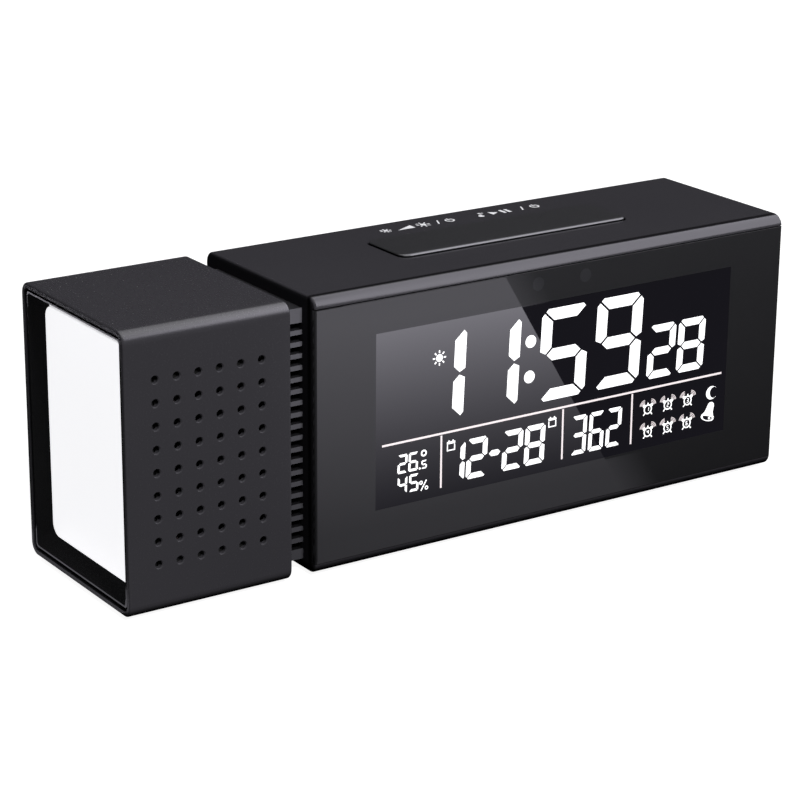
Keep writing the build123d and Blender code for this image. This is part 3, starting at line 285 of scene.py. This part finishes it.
def mesh_object(form, name, material):
    """Turns a bmesh into an object with one material."""
    mesh = bpy.data.meshes.new(name)
    form.to_mesh(mesh)
    form.free()
    mesh.materials.append(material)
    return new_object(name, mesh)


def keep_mesh(form, name, wear, body, place):
    """Turns a bmesh into a finished piece, moved by place, that rides on a body."""
    bmesh.ops.transform(form, matrix=place, verts=form.verts)
    bmesh.ops.recalc_face_normals(form, faces=form.faces)
    piece = mesh_object(form, name, finish[wear])
    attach(piece, body)
    return piece


def lay_sheet(sheet, name, wear, place, rise=SIGN_RISE):
    """Gives a drawn sheet its thickness and lays it on the case."""
    bmesh.ops.remove_doubles(sheet, verts=sheet.verts, dist=0.001)
    grown = bmesh.ops.extrude_face_region(sheet, geom=sheet.faces[:], use_keep_orig=True)
    raised = [part for part in grown["geom"] if isinstance(part, bmesh.types.BMVert)]
    bmesh.ops.translate(sheet, verts=raised, vec=(0, 0, rise))
    keep_mesh(sheet, name, wear, "clock", place)


def turned_at(x, y, degrees):
    """Takes a sign to a place on its sheet, turned anticlockwise."""
    return Matrix.Translation((x, y, 0)) @ Matrix.Rotation(math.radians(degrees), 4, "Z")


def strip(sheet, x0, y0, x1, y1, cuts=(), place=None):
    """A flat rectangle trimmed by lines, each a point on the line and the way that is cut off."""
    shape = Matrix.Translation(((x0 + x1) / 2, (y0 + y1) / 2, 0)) @ Matrix.Diagonal((x1 - x0, y1 - y0, 1, 1))
    left = set(bmesh.ops.create_grid(sheet, x_segments=1, y_segments=1, size=0.5, matrix=shape)["verts"])
    for point, off in cuts:
        whole = left | {e for v in left for e in v.link_edges} | {f for v in left for f in v.link_faces}
        cut = bmesh.ops.bisect_plane(sheet, geom=list(whole), dist=1e-5, plane_co=(*point, 0),
                                     plane_no=(*off, 0), clear_outer=True)
        left = {part for part in cut["geom"] + cut["geom_cut"]
                if part.is_valid and isinstance(part, bmesh.types.BMVert)}
    if place is not None:
        bmesh.ops.transform(sheet, matrix=place, verts=list(left))


def disc(sheet, x, y, radius):
    """A flat round."""
    bmesh.ops.create_circle(sheet, cap_ends=True, segments=32, radius=radius,
                            matrix=Matrix.Translation((x, y, 0)))


def band(sheet, x, y, inner, outer, start=0.0, sweep=360.0):
    """A flat ring, or an arc of one, in degrees from the right."""
    turn = turned_at(x, y, start)
    ends = [sheet.verts.new(turn @ Vector((radius, 0, 0))) for radius in (inner, outer)]
    edge = sheet.edges.new(ends)
    bmesh.ops.spin(sheet, geom=ends + [edge], cent=(x, y, 0), axis=(0, 0, 1), angle=math.radians(sweep),
                   steps=max(6, int(sweep / 10)), use_merge=sweep == 360.0)


def ribbon(sheet, steps, rule):
    """A flat strip whose long edges follow a rule: rule(along, side) gives the place, both from 0 to 1."""
    made = bmesh.ops.create_grid(sheet, x_segments=steps, y_segments=1, size=0.5)["verts"]
    for vert in made:
        vert.co = (*rule(vert.co.x + 0.5, vert.co.y + 0.5), 0)


# How far a numeral leans to the right for its height, and the segments that each one lights
SLANT = 0.042
LIT = {"0": "abcdef", "1": "bc", "2": "abged", "3": "abgcd", "4": "fgbc", "5": "afgcd", "6": "afgedc",
       "7": "abc", "8": "abcdefg", "9": "abcdfg"}
# Which pattern bar each segment is, and how it is turned over
TURNED = {"a": ("a", 1, 1), "d": ("a", 1, -1), "f": ("f", 1, 1), "b": ("f", -1, 1), "e": ("f", 1, -1),
          "c": ("f", -1, -1), "g": ("g", 1, 1)}


def numeral(sheet, sign, x, y, width, height, post, beam, gap, corner):
    """A seven-bar numeral with mitred joints. x is its left at the foot, post and beam are the widths of the
    upright and level bars, and corner is how far the outer corners are cut."""
    w, h, g = width / 2, height / 2, gap / 2
    mitre = Vector((beam, post)).normalized()
    tip = Vector((-beam, post)).normalized()
    heel = Vector((0.5, 1)).normalized()
    tips = [(sx, Vector((tip.x * sx, tip.y * sy))) for sx in (1, -1) for sy in (1, -1)]
    start, end, tail = Vector((-w, h)), Vector((w, h)), Vector((-w + post / 2, 0))
    start_cut = (Vector((-w + corner, h)), Vector((-1, 1)))
    end_cut = (Vector((w - corner, h)), Vector((1, 1)))
    pattern = {
        "a": ((-w, h - beam, w, h), [(start + mitre * g, -mitre), (end + tip * g, -tip), start_cut, end_cut]),
        "f": ((-w, 0, -w + post, h), [(start - mitre * g, mitre), start_cut, (tail + tip * g, -tip),
                                      (tail + heel * g, -heel)]),
        "g": ((-w + post / 2, -beam / 2, w - post / 2, beam / 2),
              [(Vector((tail.x * sx, 0)) - way * g, way) for sx, way in tips]),
    }
    place = Matrix(((1, SLANT, 0, x + w + SLANT * h), (0, 1, 0, y + h), (0, 0, 1, 0), (0, 0, 0, 1)))
    for name in LIT[sign]:
        bar, sx, sy = TURNED[name]
        (x0, y0, x1, y1), cuts = pattern[bar]
        xs, ys = sorted((x0 * sx, x1 * sx)), sorted((y0 * sy, y1 * sy))
        turned = [((p.x * sx, p.y * sy), (n.x * sx, n.y * sy)) for p, n in cuts]
        strip(sheet, xs[0], ys[0], xs[1], ys[1], turned, place)


def row(sheet, places, **size):
    """Several numerals of one size, each with its left."""
    for sign, x in places:
        numeral(sheet, sign, x, **size)


# Front: lens rim with its window, the display face and the sensor windows

WINDOW = (16.7, 12.9, 124.4, 56.85)   # left, foot, right, top on the front sheet
SENSORS = ((63.45, 61.75), (77.75, 61.75))
SENSOR_RADIUS = 1.7
LENS_END_RADIUS = 0.45
LENS_EDGE_RADIUS = 0.15

rim = bmesh.new()
lens_size = (LENS_HIGH - LENS_LOW) / MM
lens_size.y -= FRONT_SINK
lens_size.z -= TOP_SEAM
lens_middle = Vector(((LENS_LOW.x + LENS_HIGH.x) / 2 / MM, LENS_HIGH.y / MM - lens_size.y / 2,
                      (LENS_LOW.z + LENS_HIGH.z) / 2 / MM - TOP_SEAM / 2))
bmesh.ops.create_cube(rim, size=1, matrix=Matrix.Translation(lens_middle) @ Matrix.Diagonal((*lens_size, 1)))
face_y = lens_middle.y - lens_size.y / 2
# First the upright edges of the face, which keep their x, and then the long ones, which keep their z
for axis, radius, steps in ((0, LENS_END_RADIUS, 5), (2, LENS_EDGE_RADIUS, 2)):
    rounded = [e for e in rim.edges if all(v.co.y < face_y + NEAR for v in e.verts)
               and abs(e.verts[0].co[axis] - e.verts[1].co[axis]) < NEAR]
    bmesh.ops.bevel(rim, geom=rounded, offset=radius, offset_type="OFFSET", segments=steps, profile=0.5,
                    affect="EDGES", material=-1)
left, foot, right, top = (side + low / MM for side, low in zip(WINDOW, (BODY_LOW.x, BODY_LOW.z) * 2))
for point, way in (((left, 0, 0), (1, 0, 0)), ((right, 0, 0), (1, 0, 0)), ((0, 0, foot), (0, 0, 1)),
                   ((0, 0, top), (0, 0, 1))):
    bmesh.ops.bisect_plane(rim, geom=rim.verts[:] + rim.edges[:] + rim.faces[:], dist=1e-5, plane_co=point,
                           plane_no=way)
rim.normal_update()
opening = [f for f in rim.faces if f.normal.y < -0.9 and left < f.calc_center_median().x < right
           and foot < f.calc_center_median().z < top]
bmesh.ops.inset_region(rim, faces=opening, thickness=WINDOW_DRAFT, depth=-DISPLAY_SINK)
lens_rim = keep_mesh(rim, "lens_rim", "lens_acrylic", "clock", Matrix.Scale(MM, 4))
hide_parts("front_lens")

face_sheet = bmesh.new()
strip(face_sheet, *(side + way * WINDOW_DRAFT for side, way in zip(WINDOW, (1, 1, -1, -1))))
lay_sheet(face_sheet, "display_face", "display_face",
          laid_on_front(FRONT_SINK + DISPLAY_SINK), rise=FACE_RISE)

sensor_sheet = bmesh.new()
for x, y in SENSORS:
    disc(sensor_sheet, x, y, SENSOR_RADIUS)
lay_sheet(sensor_sheet, "sensor_windows", "sensor_window", laid_on_front(FRONT_SINK),
          rise=SENSOR_RISE)

# Display signs

time_sheet = bmesh.new()
row(time_sheet, (("1", 27.3), ("1", 43.4), ("5", 64.0), ("9", 81.0)),
    y=31.33, width=14.4, height=23.5, post=3.3, beam=3.0, gap=0.55, corner=1.9)
for x, y in ((61.6, 47.5), (61.4, 38.5)):
    disc(time_sheet, x, y, 1.6)
lay_sheet(time_sheet, "time_numerals", "lit_sign", SIGNS)

second_sheet = bmesh.new()
row(second_sheet, (("2", 98.0), ("8", 107.6)),
    y=31.25, width=8.7, height=14.0, post=1.95, beam=1.95, gap=0.4, corner=1.15)
lay_sheet(second_sheet, "second_numerals", "lit_sign", SIGNS)

# Month, dash and day, then the day of the year
date_sheet = bmesh.new()
row(date_sheet, (("1", 36.2), ("2", 42.8), ("2", 53.5), ("8", 60.25)),
    y=15.5, width=6.1, height=10.25, post=1.4, beam=1.4, gap=0.3, corner=0.8)
strip(date_sheet, 49.7, 20.1, 53.1, 21.6, (((49.7, 20.85), (-1, 1)), ((49.7, 20.85), (-1, -1)),
                                           ((53.1, 20.85), (1, 1)), ((53.1, 20.85), (1, -1))))
row(date_sheet, (("3", 74.6), ("6", 80.1), ("2", 85.6)),
    y=15.45, width=4.7, height=10.2, post=1.1, beam=1.1, gap=0.26, corner=0.62)
lay_sheet(date_sheet, "date_numerals", "lit_sign", SIGNS)

# Degrees with a small decimal, and per cent
climate_sheet = bmesh.new()
row(climate_sheet, (("2", 22.9), ("6", 26.0)),
    y=20.85, width=2.75, height=4.75, post=0.62, beam=0.62, gap=0.14, corner=0.34)
row(climate_sheet, (("5", 29.75),),
    y=20.85, width=1.6, height=2.15, post=0.38, beam=0.38, gap=0.08, corner=0.2)
row(climate_sheet, (("4", 22.9), ("5", 26.2)),
    y=15.65, width=2.75, height=4.4, post=0.62, beam=0.62, gap=0.14, corner=0.34)
disc(climate_sheet, 29.35, 21.1, 0.28)
band(climate_sheet, 30.5, 24.8, 0.45, 0.85)
for x, y in ((29.75, 17.35), (31.35, 15.85)):
    band(climate_sheet, x, y, 0.24, 0.52)
strip(climate_sheet, -0.16, -1.5, 0.16, 1.5, place=turned_at(30.55, 16.6, -32))
lay_sheet(climate_sheet, "climate_numerals", "lit_sign", SIGNS)

HALF_RULE = 0.25
rule_sheet = bmesh.new()
strip(rule_sheet, 18.5, 28.5, 122.9, 29.02)
for x, low, high in ((35.55, 14.9, 28.25), (72.05, 15.1, 28.25), (93.8, 14.9, 28.25)):
    strip(rule_sheet, x - HALF_RULE, low, x + HALF_RULE, high)
lay_sheet(rule_sheet, "display_rules", "lit_rule", SIGNS)


def alarm_sign(sheet, rings, x, y, number):
    """A twin-bell alarm clock with a number on its face, 5.3 mm wide with its ringing. The ringing, at both
    sides, goes on a sheet of its own."""
    band(sheet, x, y, 0.98, 1.32)
    numeral(sheet, number, x - 0.36, y - 0.58, width=0.68, height=1.16, post=0.2, beam=0.2, gap=0.04,
            corner=0.08)
    for side in (1, -1):
        disc(sheet, x + side * 1.2, y + 1.02, 0.44)
        strip(sheet, -0.16, -0.34, 0.16, 0.34, place=turned_at(x + side * 1.18, y - 1.26, side * 40))
        for radius in (1.0, 1.36, 1.72):
            band(rings, x + side * 0.85, y + 0.85, radius - 0.09, radius + 0.09,
                 start=10 if side > 0 else 98, sweep=72)
    strip(sheet, x - 0.2, y + 1.36, x + 0.2, y + 1.78, (((x + 0.08, y + 1.78), (1, 0.5)),
                                                        ((x - 0.08, y + 1.78), (-1, 0.5))))


alarm_sheet, ring_sheet = bmesh.new(), bmesh.new()
for index, (x, y) in enumerate(((99.0, 23.25), (105.5, 23.25), (112.0, 23.25), (99.25, 17.1), (105.7, 17.1),
                                (112.0, 17.1))):
    alarm_sign(alarm_sheet, ring_sheet, x, y, str(index + 1))
lay_sheet(alarm_sheet, "alarm_signs", "lit_sign", SIGNS)
lay_sheet(ring_sheet, "ringing_signs", "lit_rule", SIGNS)


def bell_rule(along, side):
    """A bell from its crown to its flared mouth."""
    if along < 0.3:
        half = 1.02 * math.sqrt(1 - (1 - along / 0.3) ** 2) + 0.05
    else:
        half = 1.07 + 0.25 * (along - 0.3) / 0.4 + 0.75 * max(0.0, (along - 0.6) / 0.4) ** 2
    return (side - 0.5) * 2 * half, 4.25 - 3.85 * along


def moon_rule(along, side):
    """A crescent: two arcs that meet at the horns."""
    angle = math.radians(-130 + 260 * along)
    edge = Vector((1.8 * math.cos(angle + math.pi), 1.8 * math.sin(angle)))
    hollow = Vector((1.35 * math.cos(angle + math.pi) + 0.75, 1.5 * math.sin(angle)))
    return tuple(edge.lerp(hollow, side))


def sun_sign(sheet, x, y, core, reach):
    """A disc with eight rays."""
    disc(sheet, x, y, core)
    for step in range(8):
        strip(sheet, core + 0.28, -0.18, reach, 0.18, place=turned_at(x, y, 45 * step))


# Bell with its mouth and clapper, tilted, then the moon, the sun and two calendar sheets
sign_sheet = bmesh.new()
ribbon(sign_sheet, 20, bell_rule)
before = set(sign_sheet.verts)
band(sign_sheet, 0, 0, 0.74, 1.0)
bmesh.ops.transform(sign_sheet, verts=[v for v in sign_sheet.verts if v not in before],
                    matrix=Matrix.Diagonal((2.25, 0.92, 1, 1)))
disc(sign_sheet, 0.75, -0.05, 0.36)
bmesh.ops.transform(sign_sheet, verts=sign_sheet.verts, matrix=turned_at(118.8, 17.35, -19))
before = set(sign_sheet.verts)
ribbon(sign_sheet, 24, moon_rule)
bmesh.ops.transform(sign_sheet, verts=[v for v in sign_sheet.verts if v not in before],
                    matrix=Matrix.Translation((119.9, 23.9, 0)))
sun_sign(sign_sheet, 34.7, 47.95, core=0.95, reach=1.9)
for x, y in ((38.4, 25.1), (68.8, 25.4)):
    strip(sign_sheet, x - 1.2, y + 0.55, x + 1.2, y + 1.15)
    for x0, y0, x1, y1 in ((-1.2, -1.2, -0.9, 0.4), (0.9, -1.2, 1.2, 0.4), (-0.9, -1.2, 0.9, -0.9)):
        strip(sign_sheet, x + x0, y + y0, x + x1, y + y1)
    for side in (-0.6, 0.6):
        strip(sign_sheet, x + side - 0.18, y + 1.15, x + side + 0.18, y + 1.5)
lay_sheet(sign_sheet, "display_signs", "lit_sign", SIGNS)

# Top: pad-printed signs behind the bar, a group for the lamp and one for the radio

PRINT_Y = 41.4   # middle of the row


def power_sign(sheet, x, y):
    """A broken ring with a stroke in the break."""
    band(sheet, x, y, 0.9, 1.35, start=120, sweep=300)
    strip(sheet, x - 0.22, y, x + 0.22, y + 1.6)


top_sheet = bmesh.new()
# Small sun, wedge and large sun for dimming
sun_sign(top_sheet, 46.6, PRINT_Y, core=0.6, reach=1.55)
strip(top_sheet, 49.6, 40.1, 54.6, 42.7, (((49.6, 40.15), (-0.5, 1)),))
sun_sign(top_sheet, 57.8, PRINT_Y, core=0.85, reach=2.0)
power_sign(top_sheet, 66.0, PRINT_Y)
# Note, and further on the pause and play signs
disc(top_sheet, 75.2, 40.5, 0.8)
strip(top_sheet, 75.66, 40.5, 76.0, 43.2)
strip(top_sheet, 76.0, 42.4, 77.2, 43.2, (((76.0, 43.15), (0.4, 1)), ((76.0, 42.75), (-0.4, -1))))
for x in (82.0, 83.6):
    strip(top_sheet, x, 40.0, x + 0.85, 42.8)
power_sign(top_sheet, 92.6, PRINT_Y)
for x in (62.4, 88.6):
    strip(top_sheet, -0.2, -1.6, 0.2, 1.6, place=turned_at(x, PRINT_Y, -25))
strip(top_sheet, 78.6, 40.0, 80.9, 42.8, (((80.9, PRINT_Y), (0.6, 1)), ((80.9, PRINT_Y), (0.6, -1))))
lay_sheet(top_sheet, "top_signs", "pad_print", LAID_ON_TOP, rise=PRINT_RISE)

# Stage: white floor and world, lamps, and cards that only gloss can see

# Places and sizes of the cards are in mm. Flags are the dark ones.
CARD_COLOUR = linear("#f6f3ff")
CARD_Z = 2               # cards that lie in front of the case
EDGE_X = 300             # the card that stands at the right
POOL_Z = 0.3
FLAG_Z = 0.1
FLAG_REACH = 900
FLAG_TOP = 1100
FLOOR_FLAG_GLOW = 0.003
WALL_FLAG_GLOW = 0.02
HALF_FLOOR = 4.0         # in m
FLOOR_GLOW = 0.93
WORLD_FILL = 0.04        # the world's light on the object, where the eye sees 1


def card(name, corners, start, first, end, last):
    """A flat card with its corners in mm, seen by gloss alone. Its glow changes from first at start to last at
    end."""
    form = bmesh.new()
    form.faces.new([form.verts.new(Vector(corner) * MM) for corner in corners])
    made, tree = new_finish(name)
    way = (Vector(end) - Vector(start)) * MM
    place = add(tree, "ShaderNodeTexCoord").outputs["Object"]
    from_start = add(tree, "ShaderNodeVectorMath", {0: place, 1: Vector(start) * MM}, operation="SUBTRACT")
    along = add(tree, "ShaderNodeVectorMath", {0: from_start.outputs[0], 1: way / way.length_squared},
                operation="DOT_PRODUCT")
    level = add(tree, "ShaderNodeMapRange", {"Value": along.outputs["Value"], "To Min": first,
                                             "To Max": last})
    shine = add(tree, "ShaderNodeEmission", {"Color": CARD_COLOUR, "Strength": level.outputs[0]})
    add(tree, "ShaderNodeOutputMaterial", {"Surface": shine.outputs[0]})
    piece = mesh_object(form, name, made)
    for sight in ("camera", "diffuse", "transmission", "volume_scatter", "shadow"):
        setattr(piece, "visible_" + sight, False)


def even_card(name, corners, glow):
    """A card with one strength all over."""
    card(name, corners, (0, 0, 0), glow, (0, 1, 0), glow)


# The gloss line on the display is the edge of the first card, which fades towards the case. Past that edge two
# more fade sideways, seen in the rim over and under the display.
card("reflector_card", ((-46, -27, CARD_Z), (47.9, -27, CARD_Z), (170.4, -265, CARD_Z), (104, -265, CARD_Z)),
     (0, -41, CARD_Z), 0.58, (0, -185, CARD_Z), 2.2)
card("low_fade", ((47.9, -27, CARD_Z), (60.5, -27, CARD_Z), (72, -49, CARD_Z), (59.2, -49, CARD_Z)),
     (47.9, -27, CARD_Z), 0.55, (57.6, -22, CARD_Z), 0.0)
card("high_fade", ((123.5, -173.8, CARD_Z), (135.5, -173.8, CARD_Z), (182.4, -265, CARD_Z),
                   (170.4, -265, CARD_Z)),
     (123.5, -173.8, CARD_Z), 0.68, (133, -168.9, CARD_Z), 0.0)
# This one stands at the right and draws the band along the top edges
card("edge_card", ((EDGE_X, -753, 665), (EDGE_X, -500, 140), (EDGE_X, 15, 140), (EDGE_X, 291, 665)),
     (EDGE_X, -500, 200), 3.75, (EDGE_X, 150, 200), 2.1)
# The floor near the case is dark to gloss, but for pools of light that the lamp's rim and bezel mirror
even_card("floor_flag", [(x * FLAG_REACH, y * FLAG_REACH, FLAG_Z)
                         for x, y in ((-1, -1), (1, -1), (1, 1), (-1, 1))], FLOOR_FLAG_GLOW)
for name, left, right, low, high, glow in (("foot_pool", -103, -95.6, -19, 45, 0.7),
                                           ("rim_pool", -202, -195.3, 140, 270, 0.6),
                                           ("bezel_pool", -195.3, -192.8, 140, 270, 6.0)):
    even_card(name, ((left, low, POOL_Z), (right, low, POOL_Z), (right, high, POOL_Z), (left, high, POOL_Z)),
              glow)
# The walls are dark to gloss all round
wall = [Vector((x * FLAG_REACH, -FLAG_REACH, z)) for x, z in ((-1, 0), (1, 0), (1, FLAG_TOP), (-1, FLAG_TOP))]
for index in range(4):
    way = Matrix.Rotation(math.radians(90 * index), 4, "Z")
    even_card("wall_flag_%d" % index, [way @ corner for corner in wall], WALL_FLAG_GLOW)


def seen(tree):
    """1 for what the eye sees, straight, by gloss or through clear pieces, and 0 for light on the object."""
    path = add(tree, "ShaderNodeLightPath").outputs
    bare = add(tree, "ShaderNodeMath", {0: path["Is Camera Ray"], 1: path["Is Glossy Ray"]},
               operation="MAXIMUM")
    both = add(tree, "ShaderNodeMath", {0: bare.outputs[0], 1: path["Is Transmission Ray"]},
               operation="MAXIMUM")
    return both.outputs[0]


# Floor: the eye sees white, and the light thrown back up to the object is that of a darker table
made, tree = new_finish("white_studio_floor")
eye = seen(tree)
tone = add(tree, "ShaderNodeMix", {0: eye, 6: linear("#242424"), 7: linear("#8a8a8a")}, data_type="RGBA")
share = add(tree, "ShaderNodeMath", {0: eye, 1: FLOOR_GLOW}, operation="MULTIPLY")
matt = add(tree, "ShaderNodeBsdfDiffuse", {"Color": tone.outputs[2]})
shine = add(tree, "ShaderNodeEmission", {"Strength": share.outputs[0]})
lit = add(tree, "ShaderNodeAddShader", {0: matt.outputs[0], 1: shine.outputs[0]})
add(tree, "ShaderNodeOutputMaterial", {"Surface": lit.outputs[0]})
floor_form = bmesh.new()
bmesh.ops.create_grid(floor_form, x_segments=1, y_segments=1, size=HALF_FLOOR)
floor = mesh_object(floor_form, "studio_floor", made)

world = bpy.data.worlds.new("white_studio")
bpy.context.scene.world = world
world.use_nodes = True
tree = world.node_tree
tree.nodes.clear()
level = add(tree, "ShaderNodeMapRange", {"Value": seen(tree), "To Min": WORLD_FILL, "To Max": 1.0})
sky = add(tree, "ShaderNodeBackground", {"Color": linear("#fdfdff"), "Strength": level.outputs[0]})
add(tree, "ShaderNodeOutputWorld", {"Surface": sky.outputs[0]})


def softbox(name, place, aim, size, watts):
    """A square softbox at a place in m, turned to a point. Gloss doesn't see it, as the cards do that."""
    lamp = bpy.data.lights.new(name, "AREA")
    lamp.shape = "SQUARE"
    lamp.size = size
    lamp.energy = watts
    piece = new_object(name, lamp)
    piece.location = place
    piece.rotation_euler = (Vector(aim) - Vector(place)).to_track_quat("-Z", "Y").to_euler()
    piece.visible_camera = False
    piece.visible_glossy = False


softbox("front_softbox", (-0.05, -1.0, 1.0), (0, 0, 0.03), size=0.3, watts=22.0)
softbox("back_softbox", (0.25, 1.2, 0.45), (0, 0, 0.03), size=0.4, watts=11.2)
softbox("right_softbox", (1.2, 0.15, 0.25), (0.05, 0, 0.03), size=0.4, watts=4.5)
softbox("lamp_end_fill", (-1.2, -0.15, 0.1), (-0.09, 0, 0.035), size=0.3, watts=4.0)

# Camera, solved from the photograph's perspective

PICTURE = 800             # pixels
FOCAL_LENGTH = 2642.0     # pixels
SENSOR_WIDTH = 36         # mm
CAMERA_PLACE = (-0.351007, -0.515176, 0.240073)

azimuth, elevation, roll = (math.radians(v) for v in (-33.847, 18.701, 0.427))
back = Vector((math.sin(azimuth) * math.cos(elevation), -math.cos(azimuth) * math.cos(elevation),
               math.sin(elevation)))
side = (-back).cross(Vector((0, 0, 1))).normalized()
over = side.cross(-back).normalized()
side, over = math.cos(roll) * side + math.sin(roll) * over, -math.sin(roll) * side + math.cos(roll) * over
optics = bpy.data.cameras.new("camera")
optics.sensor_width = SENSOR_WIDTH
optics.lens = FOCAL_LENGTH / PICTURE * SENSOR_WIDTH
optics.clip_start = 0.01
camera = new_object("camera", optics)
turn = Matrix((side, over, back)).transposed().to_4x4()
camera.matrix_world = Matrix.Translation(CAMERA_PLACE) @ turn
bpy.context.scene.camera = camera
bpy.context.scene.view_settings.view_transform = "Standard"
